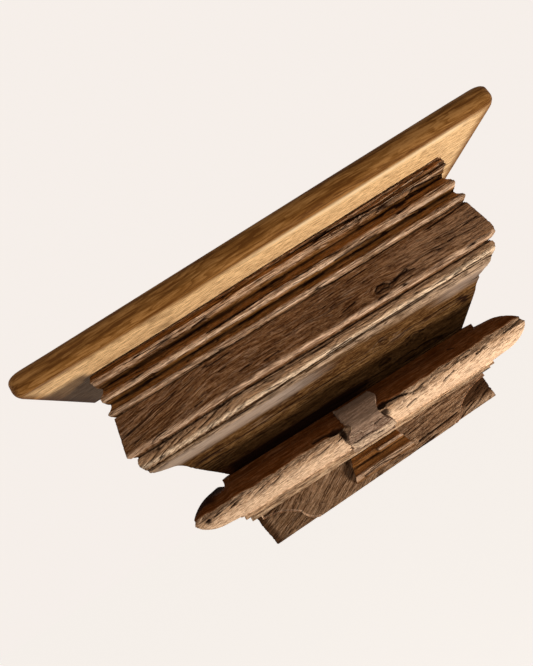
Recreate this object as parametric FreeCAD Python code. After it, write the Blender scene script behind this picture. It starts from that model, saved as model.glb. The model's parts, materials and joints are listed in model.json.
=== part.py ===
import os

import FreeCAD, Part

# Wall shelf: a round-edged board on a stack of old carved moulding courses, hung flat on a wall.
# Row frame in millimetres: X along the shelf, Y into the wall, Z up. The wall plane is Y = 0, and
# Z = 0 is the line of the two blind holes that slide over the pins in the wall.
# A reach is a distance out of the wall plane, and a drop is a distance below the top of its course.

# Board
BOARD_LENGTH = 600.0
BOARD_DEPTH = 190.0
BOARD_THICK = 30.0
BOARD_CORNER_RADIUS = 14.0
BOARD_TOP_ROUND = 10.0
BOARD_FOOT_ROUND = 6.0
TOP_ROUND_SHARE = 0.55
FOOT_ROUND_SHARE = 0.4
CORNER_ROUND_SHARE = 0.9

# Stack of courses under the board, each a share of its height, and the base from what is left
HANG_DROP = 32.0
CORE_HALF = 120.0
STACK_HEIGHT = 281.0
CROWN_HEIGHT = STACK_HEIGHT * 0.2135
FASCIA_HEIGHT = STACK_HEIGHT * 0.1868
BEAD_HEIGHT = STACK_HEIGHT * 0.064
COVE_HEIGHT = STACK_HEIGHT * 0.1993
TORUS_HEIGHT = STACK_HEIGHT * 0.1797
UPPER_SLAT_THICK = STACK_HEIGHT * 0.0125
LOWER_SLAT_THICK = STACK_HEIGHT * 0.016
COURSES_HEIGHT = CROWN_HEIGHT + FASCIA_HEIGHT + BEAD_HEIGHT + COVE_HEIGHT + TORUS_HEIGHT
BASE_HEIGHT = STACK_HEIGHT - COURSES_HEIGHT - UPPER_SLAT_THICK - LOWER_SLAT_THICK

# Crown: three ridges with a scotia above each tip
CROWN_HEAD_REACH = 123.0
RIDGE_REACH = 126.0
RIDGE_DEPTH = 8.0
TIP_ROUND = 1.4
RIDGE_HEIGHT_SHARES = (0.39, 0.34, 0.27)
FLANK_VIA_SHARES = (0.32, 0.26)
TIP_START_SHARE = 0.46
TIP_MIDDLE_SHARE = 0.62
TIP_END_SHARE = 0.77

# Fascia: a wide board that leans out to a worn lip over a groove
FASCIA_HEAD_REACH = 121.0
FASCIA_FOOT_REACH = 127.5
FASCIA_LIP_HEIGHT = 4.0
GROOVE_DEPTH = 8.0
LIP_VIA_SHARES = (0.12, 0.42)
LIP_END_SHARES = (0.38, 0.72)

# Upper bead, under the groove
BEAD_HEAD_REACH = 119.0
BEAD_REACH = 122.0
BEAD_FOOT_REACH = 117.5
BEAD_MIDDLE_SHARE = 0.45

# Cove course: lower bead, sloping underside and a deep cove
LOWER_BEAD_REACH = 116.8
LOWER_BEAD_FOOT_REACH = 112.0
LOWER_BEAD_HEIGHT = COVE_HEIGHT * 0.116
SOFFIT_REACH = 97.0
SOFFIT_DROP = COVE_HEIGHT * 0.196
COVE_FOOT_REACH = 53.5
COVE_BEND_SHARES = (0.70, 0.29)
COVE_VIA_SHARES = (0.86, 0.09)
COVE_LOW_VIA_SHARES = (0.34, 0.655)

# Torus course: quirk, half round, flat foot
QUIRK_REACH = 66.0
QUIRK_DROP = 6.0
TORUS_SHELF_REACH = 78.0
TORUS_REACH = 102.5
TORUS_TIP_DROP = TORUS_HEIGHT * 0.535
TORUS_FOOT_REACH = 62.0
TORUS_UPPER_VIA_SHARES = (0.72, 0.36)
TORUS_LOWER_VIA_SHARES = (0.82, 0.50)
TORUS_HEEL_SHARES = (0.40, 0.86)

# Slats, base and apron under the torus
UPPER_SLAT_REACH = 60.0
LOWER_SLAT_REACH = 55.0
BASE_REACH = 44.0
APRON_THICK = 6.0
APRON_SETBACK = 1.0
APRON_END_HEIGHT = 5.0
OGEE_WIDTH = 62.0
OGEE_HOLLOW_SHARES = (0.42, 0.16)
OGEE_TURN_SHARES = (0.72, 0.50)
OGEE_SWELL_SHARES = (0.84, 0.85)

# Carved strap over the torus and ridged tongue on the apron
STRAP_HALF = 27.0
STRAP_THICK = 5.0
TONGUE_HALF = 43.0
TONGUE_HEAD_HALF = 33.0
TONGUE_HEIGHT = BASE_HEIGHT * 0.78
TONGUE_THICK = 9.0
TONGUE_TOP_DROP = 1.0
TONGUE_RIDGE_DEPTH = 5.0
TONGUE_RIDGE_SHARES = (0.42, 0.58)

# Dowels and pegs. A spot share is of the core's half length, an inset share is of a reach.
DOWEL_RADIUS = 5.0
DOWEL_CHAMFER = 1.0
DOWEL_BITE = 18.0
INSET_SHARE = 0.5
CROWN_DOWEL_SHARES = (0.58, 1.54)
BEAD_DOWEL_SHARES = (0.38, 1.38)
COVE_DOWEL_SHARES = (0.50, 1.15)
BASE_DOWEL_SHARES = (0.30, 1.00)
PEG_RADIUS = 4.0
PEG_CHAMFER = 0.8
APRON_PEG_SHARES = (0.52, 0.90)
APRON_PEG_BITE = 14.0
APRON_PEG_HEAD = 3.0
STRAP_PEG_SHARE = 0.5
STRAP_PEG_BITE = 20.0
STRAP_PEG_HEAD = 2.5
TONGUE_PEG_SHARE = 0.5
TONGUE_PEG_BITE = 8.0
TONGUE_PEG_HEAD = 2.5

# Board screws, sunk under wooden plugs
BOARD_SCREW_HEAD_RADIUS = 5.0
BOARD_SCREW_HEAD_HEIGHT = 3.2
BOARD_SCREW_SHANK_RADIUS = 2.5
BOARD_SCREW_BITE = 35.0
BOARD_SCREW_SLOT_WIDTH = 1.2
BOARD_SCREW_SLOT_DEPTH = 1.4
BOARD_SCREW_SHARES = (0.83, 1.71)
BOARD_SCREW_INSET_SHARE = 0.57
SCREW_POINT_SHARE = 0.18
PLUG_RADIUS = 6.5
PLUG_HEIGHT = 8.0

# Blind holes in the back of the crown for the wall pins
PIN_HOLE_RADIUS = 6.0
PIN_HOLE_DEPTH = 70.0
PIN_SPOT_SHARE = 1.25

# Tie plates let into the back across every course, and their screws
TIE_SPOT_SHARE = 0.75
TIE_SCREW_HEAD_RADIUS = 4.0
TIE_SCREW_HEAD_HEIGHT = 2.6
TIE_SCREW_SHANK_RADIUS = 2.0
TIE_SCREW_LENGTH = 27.0
TIE_SCREW_SLOT_WIDTH = 1.0
TIE_SCREW_SLOT_DEPTH = 1.1
TIE_WIDTH = 20.0
TIE_THICK = 3.0
TIE_TOP_DROP = 15.0
TIE_FOOT_MARGIN = 12.0
TIE_CORNER_RADIUS = 4.0

# Clearance round what is let into wood, the overrun of cutting tools, and when two levels are one
FIT_CLEARANCE = 0.1
OVERRUN = 5.0
TOUCH = 0.001
HALF_SHARE = 0.5

# Levels of the joints between courses
BOARD_UNDER = HANG_DROP
CROWN_FOOT = BOARD_UNDER - CROWN_HEIGHT
FASCIA_FOOT = CROWN_FOOT - FASCIA_HEIGHT
BEAD_FOOT = FASCIA_FOOT - BEAD_HEIGHT
COVE_FOOT = BEAD_FOOT - COVE_HEIGHT
TORUS_FOOT = COVE_FOOT - TORUS_HEIGHT
UPPER_SLAT_FOOT = TORUS_FOOT - UPPER_SLAT_THICK
SLATS_FOOT = UPPER_SLAT_FOOT - LOWER_SLAT_THICK
BASE_FOOT = SLATS_FOOT - BASE_HEIGHT

ALONG = FreeCAD.Vector(1, 0, 0)
OUT_OF_WALL = FreeCAD.Vector(0, -1, 0)
INTO_WALL = FreeCAD.Vector(0, 1, 0)
UP = FreeCAD.Vector(0, 0, 1)
DOWN = FreeCAD.Vector(0, 0, -1)


# Small shape helpers
def block(low, high):
    size = high - low
    return Part.makeBox(size.x, size.y, size.z, low)


def block_between(a, b):
    low = FreeCAD.Vector(min(a.x, b.x), min(a.y, b.y), min(a.z, b.z))
    high = FreeCAD.Vector(max(a.x, b.x), max(a.y, b.y), max(a.z, b.z))
    return block(low, high)


def joined(shapes):
    whole = shapes[0]
    for shape in shapes[1:]:
        whole = whole.fuse(shape)
    return whole.removeSplitter()


def cut_all(shape, tools):
    for tool in tools:
        shape = shape.cut(tool)
    return shape


def mirrored_places(half, shares, depth, level):
    """Places at shares of a half length, left and right of the middle, at one depth and level."""
    return [FreeCAD.Vector(side * half * share, depth, level) for share in shares for side in (-1, 1)]


def share_between(start, end, share):
    return start + (end - start) * share


# Outlines. A step is (reach, drop) for a straight run or (via reach, via drop, reach, drop) for an arc.
def outline_edges(steps, place):
    here = place(*steps[0])
    edges = []
    for step in steps[1:]:
        end = place(*step[-2:])
        if len(step) == 2:
            edges.append(Part.LineSegment(here, end).toShape())
        else:
            edges.append(Part.Arc(here, place(*step[:2]), end).toShape())
        here = end
    return edges


def closed_face(edges, corners):
    """Close open edges through the corner points and make a face of them."""
    points = [edges[-1].Vertexes[-1].Point] + corners + [edges[0].Vertexes[0].Point]
    closing = [Part.LineSegment(a, b).toShape() for a, b in zip(points, points[1:])]
    return Part.Face(Part.Wire(Part.__sortEdges__(edges + closing)))


def length_prism(steps, top, half):
    """The outline run along the length of the shelf."""
    def place(reach, drop):
        return FreeCAD.Vector(-half, -reach, top - drop)
    foot = steps[-1][-1]
    head = steps[0][-1]
    corners = [place(0, foot), place(0, head)]
    face = closed_face(outline_edges(steps, place), corners)
    return face.extrude(ALONG * (2 * half))


def return_prism(steps, top, depth):
    """The same outline turned to both ends, run out of the wall."""
    def right(reach, drop):
        return FreeCAD.Vector(CORE_HALF + reach, 0, top - drop)

    def left(reach, drop):
        return FreeCAD.Vector(-CORE_HALF - reach, 0, top - drop)
    foot_line = Part.LineSegment(right(*steps[-1][-2:]), left(*steps[-1][-2:])).toShape()
    head_line = Part.LineSegment(right(*steps[0]), left(*steps[0])).toShape()
    edges = outline_edges(steps, right) + [foot_line] + outline_edges(steps, left) + [head_line]
    face = Part.Face(Part.Wire(Part.__sortEdges__(edges)))
    return face.extrude(OUT_OF_WALL * depth)


def widest_reach(steps):
    return max(step[index] for step in steps for index in range(0, len(step), 2))


def course(steps, top):
    """A timber with the outline on its front and returned at 45 degrees round both ends."""
    reach = widest_reach(steps) + OVERRUN
    return length_prism(steps, top, CORE_HALF + reach).common(return_prism(steps, top, reach))


def plain_course(reach, top, height):
    half = CORE_HALF + reach
    return block(FreeCAD.Vector(-half, -reach, top - height), FreeCAD.Vector(half, 0, top))


# Outlines of the moulded courses
def ridge_steps(tip_reach, depth, heights):
    """Ridges one below the other: hollow flank, round tip, short undercut to the notch."""
    notch_reach = tip_reach - depth
    tip_edge = tip_reach - TIP_ROUND
    drop = 0
    steps = []
    for height in heights:
        via_reach = share_between(notch_reach, tip_edge, FLANK_VIA_SHARES[0])
        via_drop = drop + height * FLANK_VIA_SHARES[1]
        steps.append((via_reach, via_drop, tip_edge, drop + height * TIP_START_SHARE))
        steps.append((tip_reach, drop + height * TIP_MIDDLE_SHARE, tip_edge, drop + height * TIP_END_SHARE))
        drop += height
        steps.append((notch_reach, drop))
    return steps


def crown_steps():
    heights = [CROWN_HEIGHT * share for share in RIDGE_HEIGHT_SHARES]
    ridges = ridge_steps(RIDGE_REACH, RIDGE_DEPTH, heights)
    head = (CROWN_HEAD_REACH, 0)
    return [head, ridges[0][-2:]] + ridges[1:]


def fascia_steps():
    lip_top = FASCIA_HEIGHT - FASCIA_LIP_HEIGHT

    def lip(shares):
        return FASCIA_FOOT_REACH - GROOVE_DEPTH * shares[0], lip_top + FASCIA_LIP_HEIGHT * shares[1]
    return [
        (FASCIA_HEAD_REACH, 0),
        lip((0, 0)),
        lip(LIP_VIA_SHARES) + lip(LIP_END_SHARES),
        lip((1, 1)),
    ]


def bead_steps():
    return [
        (BEAD_HEAD_REACH, 0),
        (BEAD_REACH, BEAD_HEIGHT * BEAD_MIDDLE_SHARE, BEAD_FOOT_REACH, BEAD_HEIGHT),
    ]


def cove_steps():
    def inside(shares):
        reach = share_between(COVE_FOOT_REACH, SOFFIT_REACH, shares[0])
        return reach, share_between(SOFFIT_DROP, COVE_HEIGHT, shares[1])
    bend = inside(COVE_BEND_SHARES)
    return [
        (BEAD_FOOT_REACH, 0),
        (LOWER_BEAD_REACH, LOWER_BEAD_HEIGHT * HALF_SHARE, LOWER_BEAD_FOOT_REACH, LOWER_BEAD_HEIGHT),
        (SOFFIT_REACH, SOFFIT_DROP),
        inside(COVE_VIA_SHARES) + bend,
        inside(COVE_LOW_VIA_SHARES) + (COVE_FOOT_REACH, COVE_HEIGHT),
    ]


def half_round_steps(grow):
    """The half round of the torus, or the same form grown outwards for what lies over it."""
    shelf_drop = QUIRK_DROP - grow
    tip_reach = TORUS_REACH + grow
    upper_via = (share_between(TORUS_SHELF_REACH, tip_reach, TORUS_UPPER_VIA_SHARES[0]),
                 share_between(shelf_drop, TORUS_TIP_DROP, TORUS_UPPER_VIA_SHARES[1]))
    lower_via = (share_between(TORUS_FOOT_REACH + grow, tip_reach, TORUS_LOWER_VIA_SHARES[0]),
                 share_between(TORUS_TIP_DROP, TORUS_HEIGHT, TORUS_LOWER_VIA_SHARES[1]))
    heel = (share_between(TORUS_FOOT_REACH + grow, tip_reach, TORUS_HEEL_SHARES[0]),
            share_between(TORUS_TIP_DROP, TORUS_HEIGHT, TORUS_HEEL_SHARES[1]))
    return [
        (QUIRK_REACH, shelf_drop),
        (TORUS_SHELF_REACH, shelf_drop),
        upper_via + (tip_reach, TORUS_TIP_DROP),
        lower_via + heel,
        (TORUS_FOOT_REACH + grow, TORUS_HEIGHT),
    ]


def torus_steps():
    return [(QUIRK_REACH, 0)] + half_round_steps(0)


# Fasteners
class SlottedScrew:
    """A countersunk wood screw with a slotted head, placed by the middle of its flat top."""

    def __init__(self, head_radius, head_height, shank_radius, length, slot_width, slot_depth):
        self.head_radius = head_radius
        self.head_height = head_height
        self.shank_radius = shank_radius
        self.length = length
        self.slot_width = slot_width
        self.slot_depth = slot_depth

    def form(self, head_top, direction, grow):
        """The screw without its slot, grown all round for the hole it sits in."""
        shank = self.shank_radius + grow
        point = self.length * SCREW_POINT_SHARE
        neck = head_top + direction * self.head_height
        shoulder = head_top + direction * (self.length - point)
        return joined([
            Part.makeCone(self.head_radius + grow, shank, self.head_height, head_top, direction),
            Part.makeCylinder(shank, (shoulder - neck).Length, neck, direction),
            Part.makeCone(shank, 0, point + grow, shoulder, direction),
        ])

    def solid(self, head_top, direction):
        reach = ALONG * (self.head_radius + OVERRUN)
        edge = direction.cross(ALONG) * (self.slot_width / 2)
        start = head_top - reach - edge - direction * OVERRUN
        end = head_top + reach + edge + direction * self.slot_depth
        return self.form(head_top, direction, 0).cut(block_between(start, end))


def dowel(radius, chamfer, start, direction, length):
    end = start + direction * length
    return joined([
        Part.makeCone(radius - chamfer, radius, chamfer, start, direction),
        Part.makeCylinder(radius, length - 2 * chamfer, start + direction * chamfer, direction),
        Part.makeCone(radius, radius - chamfer, chamfer, end - direction * chamfer, direction),
    ])


def bore(radius, start, direction, length):
    lead = direction * FIT_CLEARANCE
    return Part.makeCylinder(radius + FIT_CLEARANCE, length + 2 * FIT_CLEARANCE, start - lead, direction)


class PegSet:
    """Round pegs of one kind and the holes that hold them."""

    def __init__(self, radius, chamfer, starts, direction, length):
        self.solids = [dowel(radius, chamfer, start, direction, length) for start in starts]
        self.holes = [bore(radius, start, direction, length) for start in starts]


class ScrewSet:
    """Screws of one kind and the holes that hold them."""

    def __init__(self, kind, heads, direction):
        self.solids = [kind.solid(head, direction) for head in heads]
        self.holes = [kind.form(head, direction, FIT_CLEARANCE) for head in heads]


def both_at_levels(spot, levels):
    """Places on the wall plane at one spot left and right of the middle, at each level."""
    return [FreeCAD.Vector(side * spot, 0, level) for level in levels for side in (-1, 1)]


# Joinery
CROWN_DOWELS = PegSet(
    DOWEL_RADIUS, DOWEL_CHAMFER,
    mirrored_places(CORE_HALF, CROWN_DOWEL_SHARES, -FASCIA_HEAD_REACH * INSET_SHARE,
                    CROWN_FOOT + DOWEL_BITE),
    DOWN, 2 * DOWEL_BITE)
BEAD_DOWELS = PegSet(
    DOWEL_RADIUS, DOWEL_CHAMFER,
    mirrored_places(CORE_HALF, BEAD_DOWEL_SHARES, -BEAD_FOOT_REACH * INSET_SHARE,
                    FASCIA_FOOT + DOWEL_BITE),
    DOWN, 2 * DOWEL_BITE + BEAD_HEIGHT)
COVE_DOWELS = PegSet(
    DOWEL_RADIUS, DOWEL_CHAMFER,
    mirrored_places(CORE_HALF, COVE_DOWEL_SHARES, -COVE_FOOT_REACH * INSET_SHARE,
                    COVE_FOOT + DOWEL_BITE),
    DOWN, 2 * DOWEL_BITE)
BASE_DOWELS = PegSet(
    DOWEL_RADIUS, DOWEL_CHAMFER,
    mirrored_places(CORE_HALF, BASE_DOWEL_SHARES, -BASE_REACH * INSET_SHARE,
                    TORUS_FOOT + DOWEL_BITE),
    DOWN, 2 * DOWEL_BITE + UPPER_SLAT_THICK + LOWER_SLAT_THICK)

BASE_FACE = -BASE_REACH
APRON_FACE = BASE_FACE - APRON_THICK
APRON_HALF = CORE_HALF + BASE_REACH - APRON_SETBACK
BASE_MIDDLE = SLATS_FOOT - BASE_HEIGHT / 2
TONGUE_MIDDLE = SLATS_FOOT - TONGUE_TOP_DROP - TONGUE_HEIGHT / 2
TORUS_TIP_LEVEL = COVE_FOOT - TORUS_TIP_DROP

APRON_PEGS = PegSet(
    PEG_RADIUS, PEG_CHAMFER,
    mirrored_places(CORE_HALF, APRON_PEG_SHARES, BASE_FACE - APRON_PEG_HEAD, BASE_MIDDLE),
    INTO_WALL, APRON_PEG_HEAD + APRON_PEG_BITE)
TONGUE_PEGS = PegSet(
    PEG_RADIUS, PEG_CHAMFER,
    mirrored_places(TONGUE_HEAD_HALF, (TONGUE_PEG_SHARE,), APRON_FACE - TONGUE_PEG_HEAD, TONGUE_MIDDLE),
    INTO_WALL, TONGUE_PEG_HEAD + APRON_THICK + TONGUE_PEG_BITE)
STRAP_PEGS = PegSet(
    PEG_RADIUS, PEG_CHAMFER,
    mirrored_places(STRAP_HALF, (STRAP_PEG_SHARE,), -TORUS_REACH - STRAP_PEG_HEAD, TORUS_TIP_LEVEL),
    INTO_WALL, STRAP_PEG_HEAD + STRAP_PEG_BITE)

# Board screws under their plugs
BOARD_TOP = BOARD_UNDER + BOARD_THICK
PLUG_FOOT = BOARD_TOP - PLUG_HEIGHT
BOARD_SCREW_LENGTH = BOARD_THICK - PLUG_HEIGHT + BOARD_SCREW_BITE
BOARD_SCREW = SlottedScrew(BOARD_SCREW_HEAD_RADIUS, BOARD_SCREW_HEAD_HEIGHT, BOARD_SCREW_SHANK_RADIUS,
                           BOARD_SCREW_LENGTH, BOARD_SCREW_SLOT_WIDTH, BOARD_SCREW_SLOT_DEPTH)
PLUG_PLACES = mirrored_places(
    CORE_HALF, BOARD_SCREW_SHARES, -CROWN_HEAD_REACH * BOARD_SCREW_INSET_SHARE, PLUG_FOOT)
BOARD_SCREWS = ScrewSet(BOARD_SCREW, PLUG_PLACES, DOWN)

# Wall pin holes and tie plates
PIN_HOLES = [
    Part.makeCylinder(PIN_HOLE_RADIUS, PIN_HOLE_DEPTH, place, OUT_OF_WALL)
    for place in mirrored_places(CORE_HALF, (PIN_SPOT_SHARE,), 0, 0)
]
TIE_SPOT = CORE_HALF * TIE_SPOT_SHARE
TIE_TOP = BOARD_UNDER - TIE_TOP_DROP
TIE_FOOT = BASE_FOOT + TIE_FOOT_MARGIN
TIE_SCREW_LEVELS = [
    (head + foot) / 2
    for head, foot in (
        (TIE_TOP, CROWN_FOOT),
        (CROWN_FOOT, FASCIA_FOOT),
        (FASCIA_FOOT, BEAD_FOOT),
        (BEAD_FOOT, COVE_FOOT),
        (COVE_FOOT, TORUS_FOOT),
        (SLATS_FOOT, TIE_FOOT),
    )
]
TIE_SCREW = SlottedScrew(TIE_SCREW_HEAD_RADIUS, TIE_SCREW_HEAD_HEIGHT, TIE_SCREW_SHANK_RADIUS,
                         TIE_SCREW_LENGTH, TIE_SCREW_SLOT_WIDTH, TIE_SCREW_SLOT_DEPTH)
TIE_SCREWS = ScrewSet(TIE_SCREW, both_at_levels(TIE_SPOT, TIE_SCREW_LEVELS), OUT_OF_WALL)


def tie_plate(middle, grow):
    """A long flat plate against the wall plane with its four corners rounded."""
    half = TIE_WIDTH / 2 + grow
    plate = block(FreeCAD.Vector(middle - half, -TIE_THICK, TIE_FOOT - grow),
                  FreeCAD.Vector(middle + half, 0, TIE_TOP + grow))
    corners = [edge for edge in plate.Edges if abs(edge.tangentAt(edge.FirstParameter).y) > HALF_SHARE]
    return plate.makeFillet(TIE_CORNER_RADIUS + grow, corners)


TIE_ROOMS = [tie_plate(spot, FIT_CLEARANCE) for spot in (-TIE_SPOT, TIE_SPOT)] + TIE_SCREWS.holes


# Timbers
def edge_at_level(edge, level):
    return all(abs(vertex.Z - level) < TOUCH for vertex in edge.Vertexes)


def edge_upright(edge):
    return abs(edge.tangentAt(edge.FirstParameter).z) > HALF_SHARE


def rounded_edges(shape, radius, chosen):
    """Round the chosen edges, but none that lies on the wall plane."""
    free = [edge for edge in shape.Edges if any(abs(vertex.Y) > TOUCH for vertex in edge.Vertexes)]
    return shape.makeFillet(radius, [edge for edge in free if chosen(edge)])


def shelf_board():
    half = BOARD_LENGTH / 2
    board = block(FreeCAD.Vector(-half, -BOARD_DEPTH, BOARD_UNDER), FreeCAD.Vector(half, 0, BOARD_TOP))
    corner_limit = BOARD_CORNER_RADIUS * CORNER_ROUND_SHARE
    top_round = min(BOARD_TOP_ROUND, BOARD_THICK * TOP_ROUND_SHARE, corner_limit)
    foot_round = min(BOARD_FOOT_ROUND, BOARD_THICK * FOOT_ROUND_SHARE, corner_limit)
    board = rounded_edges(board, BOARD_CORNER_RADIUS, edge_upright)
    board = rounded_edges(board, top_round, lambda edge: edge_at_level(edge, BOARD_TOP))
    board = rounded_edges(board, foot_round, lambda edge: edge_at_level(edge, BOARD_UNDER))
    plug_holes = [bore(PLUG_RADIUS, place, UP, PLUG_HEIGHT + OVERRUN) for place in PLUG_PLACES]
    return cut_all(board, plug_holes + BOARD_SCREWS.holes)


def crown_block():
    tools = PIN_HOLES + TIE_ROOMS + BOARD_SCREWS.holes + CROWN_DOWELS.holes
    return cut_all(course(crown_steps(), BOARD_UNDER), tools)


def fascia_block():
    tools = TIE_ROOMS + CROWN_DOWELS.holes + BEAD_DOWELS.holes
    return cut_all(course(fascia_steps(), CROWN_FOOT), tools)


def bead_block():
    return cut_all(course(bead_steps(), FASCIA_FOOT), TIE_ROOMS + BEAD_DOWELS.holes)


def cove_block():
    tools = TIE_ROOMS + BEAD_DOWELS.holes + COVE_DOWELS.holes
    return cut_all(course(cove_steps(), BEAD_FOOT), tools)


def torus_block():
    tools = TIE_ROOMS + COVE_DOWELS.holes + BASE_DOWELS.holes + STRAP_PEGS.holes
    return cut_all(course(torus_steps(), COVE_FOOT), tools)


def upper_slat():
    slat = plain_course(UPPER_SLAT_REACH, TORUS_FOOT, UPPER_SLAT_THICK)
    return cut_all(slat, TIE_ROOMS + BASE_DOWELS.holes)


def lower_slat():
    slat = plain_course(LOWER_SLAT_REACH, UPPER_SLAT_FOOT, LOWER_SLAT_THICK)
    return cut_all(slat, TIE_ROOMS + BASE_DOWELS.holes)


def base_block():
    tools = TIE_ROOMS + BASE_DOWELS.holes + APRON_PEGS.holes + TONGUE_PEGS.holes
    return cut_all(plain_course(BASE_REACH, SLATS_FOOT, BASE_HEIGHT), tools)


def base_apron():
    """Front board of the base with an ogee cut at each end."""
    ogee_height = BASE_HEIGHT - APRON_END_HEIGHT

    def end_edges(side):
        def place(shares):
            return FreeCAD.Vector(side * (APRON_HALF - OGEE_WIDTH * shares[0]), BASE_FACE,
                                  SLATS_FOOT - APRON_END_HEIGHT - ogee_height * shares[1])
        tip = place((0, 0))
        turn = place(OGEE_TURN_SHARES)
        return [
            Part.LineSegment(FreeCAD.Vector(tip.x, BASE_FACE, SLATS_FOOT), tip).toShape(),
            Part.Arc(tip, place(OGEE_HOLLOW_SHARES), turn).toShape(),
            Part.Arc(turn, place(OGEE_SWELL_SHARES), place((1, 1))).toShape(),
        ]
    right = end_edges(1)
    left = end_edges(-1)
    head = Part.LineSegment(left[0].Vertexes[0].Point, right[0].Vertexes[0].Point).toShape()
    foot = Part.LineSegment(left[-1].Vertexes[-1].Point, right[-1].Vertexes[-1].Point).toShape()
    face = Part.Face(Part.Wire(Part.__sortEdges__(left + right + [head, foot])))
    return cut_all(face.extrude(OUT_OF_WALL * APRON_THICK), APRON_PEGS.holes + TONGUE_PEGS.holes)


def centre_strap():
    """Carved band that laps over the front of the torus."""
    band = length_prism(half_round_steps(STRAP_THICK), COVE_FOOT, STRAP_HALF)
    bed = length_prism(torus_steps(), COVE_FOOT, STRAP_HALF + OVERRUN)
    over_bed = block(FreeCAD.Vector(-STRAP_HALF, -QUIRK_REACH, TORUS_FOOT),
                     FreeCAD.Vector(STRAP_HALF, 0, COVE_FOOT + STRAP_THICK))
    return cut_all(band, [bed, over_bed] + STRAP_PEGS.holes)


def centre_tongue():
    """Ridged keystone on the apron, wider at its foot."""
    top = SLATS_FOOT - TONGUE_TOP_DROP
    reach = APRON_THICK + BASE_REACH + TONGUE_THICK
    heights = [TONGUE_HEIGHT * share for share in TONGUE_RIDGE_SHARES]
    ridges = ridge_steps(reach, TONGUE_RIDGE_DEPTH, heights)
    front = length_prism([(reach - TONGUE_RIDGE_DEPTH, 0)] + ridges, top, TONGUE_HALF + OVERRUN)
    corners = [
        FreeCAD.Vector(-TONGUE_HEAD_HALF, APRON_FACE, top),
        FreeCAD.Vector(TONGUE_HEAD_HALF, APRON_FACE, top),
        FreeCAD.Vector(TONGUE_HALF, APRON_FACE, top - TONGUE_HEIGHT),
        FreeCAD.Vector(-TONGUE_HALF, APRON_FACE, top - TONGUE_HEIGHT),
    ]
    keystone = Part.Face(Part.makePolygon(corners + corners[:1]))
    keystone = keystone.extrude(OUT_OF_WALL * (TONGUE_THICK + OVERRUN))
    return cut_all(front.common(keystone), TONGUE_PEGS.holes)


def board_plugs():
    return [Part.makeCylinder(PLUG_RADIUS, PLUG_HEIGHT, place) for place in PLUG_PLACES]


NODES = {
    "shelf_board": [shelf_board()],
    "crown_block": [crown_block()],
    "fascia_block": [fascia_block()],
    "bead_block": [bead_block()],
    "cove_block": [cove_block()],
    "torus_block": [torus_block()],
    "upper_slat": [upper_slat()],
    "lower_slat": [lower_slat()],
    "base_block": [base_block()],
    "base_apron": [base_apron()],
    "centre_strap": [centre_strap()],
    "centre_tongue": [centre_tongue()],
    "board_screws": BOARD_SCREWS.solids,
    "board_plugs": board_plugs(),
    "crown_dowels": CROWN_DOWELS.solids,
    "bead_dowels": BEAD_DOWELS.solids,
    "cove_dowels": COVE_DOWELS.solids,
    "base_dowels": BASE_DOWELS.solids,
    "apron_pegs": APRON_PEGS.solids,
    "strap_pegs": STRAP_PEGS.solids,
    "tongue_pegs": TONGUE_PEGS.solids,
    "tie_plate_left": [cut_all(tie_plate(-TIE_SPOT, 0), TIE_SCREWS.holes)],
    "tie_plate_right": [cut_all(tie_plate(TIE_SPOT, 0), TIE_SCREWS.holes)],
    "tie_screws": TIE_SCREWS.solids,
}

os.makedirs("parts", exist_ok=True)
for name, shapes in NODES.items():
    solids = [solid for shape in shapes for solid in shape.Solids]
    whole = solids[0] if len(solids) == 1 else Part.makeCompound(solids)
    whole.exportStep("parts/" + name + ".step")
    print(name, len(solids), "solids", round(whole.Volume), "mm3", "valid" if whole.isValid() else "INVALID")
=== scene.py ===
"""Looks of the wall shelf: a satin board on a stack of old weathered mouldings."""
import itertools
import json
import math

import bpy
import numpy as np
from mathutils import Matrix, Vector
from mathutils.kdtree import KDTree


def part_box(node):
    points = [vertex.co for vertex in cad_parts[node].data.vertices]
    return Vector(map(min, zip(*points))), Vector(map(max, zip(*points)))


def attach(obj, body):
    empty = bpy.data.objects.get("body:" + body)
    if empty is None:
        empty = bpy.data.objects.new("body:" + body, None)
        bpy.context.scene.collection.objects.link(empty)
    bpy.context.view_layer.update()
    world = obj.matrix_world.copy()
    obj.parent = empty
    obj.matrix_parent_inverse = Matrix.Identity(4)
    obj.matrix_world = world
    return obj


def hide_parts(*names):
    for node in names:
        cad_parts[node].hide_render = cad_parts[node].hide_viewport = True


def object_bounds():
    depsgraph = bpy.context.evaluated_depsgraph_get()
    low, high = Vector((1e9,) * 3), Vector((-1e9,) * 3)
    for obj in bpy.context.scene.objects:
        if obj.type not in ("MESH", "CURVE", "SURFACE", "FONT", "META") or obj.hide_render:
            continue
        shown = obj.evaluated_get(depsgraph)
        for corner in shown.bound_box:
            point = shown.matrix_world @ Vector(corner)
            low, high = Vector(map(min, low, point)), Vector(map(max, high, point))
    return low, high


MM = 0.001
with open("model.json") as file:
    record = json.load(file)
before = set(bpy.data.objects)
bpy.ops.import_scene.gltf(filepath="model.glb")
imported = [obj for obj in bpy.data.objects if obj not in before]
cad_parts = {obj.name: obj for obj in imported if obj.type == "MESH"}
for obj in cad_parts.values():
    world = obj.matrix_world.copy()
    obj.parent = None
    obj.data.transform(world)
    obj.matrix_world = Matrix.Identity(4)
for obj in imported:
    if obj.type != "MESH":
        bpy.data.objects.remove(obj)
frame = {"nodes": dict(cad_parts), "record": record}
cad_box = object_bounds()
nodes = frame["nodes"]

# Camera, where the photograph was taken from
CAMERA_PLACE = Vector((-0.0583, -0.6493, -0.1363))
CAMERA_HEADING = math.radians(1.9)
CAMERA_PITCH = math.radians(10.53)
CAMERA_ROLL = math.radians(-32.2)
CAMERA_LENS = 25.28
SENSOR_WIDTH = 36
CLIP_START = 0.01

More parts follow.
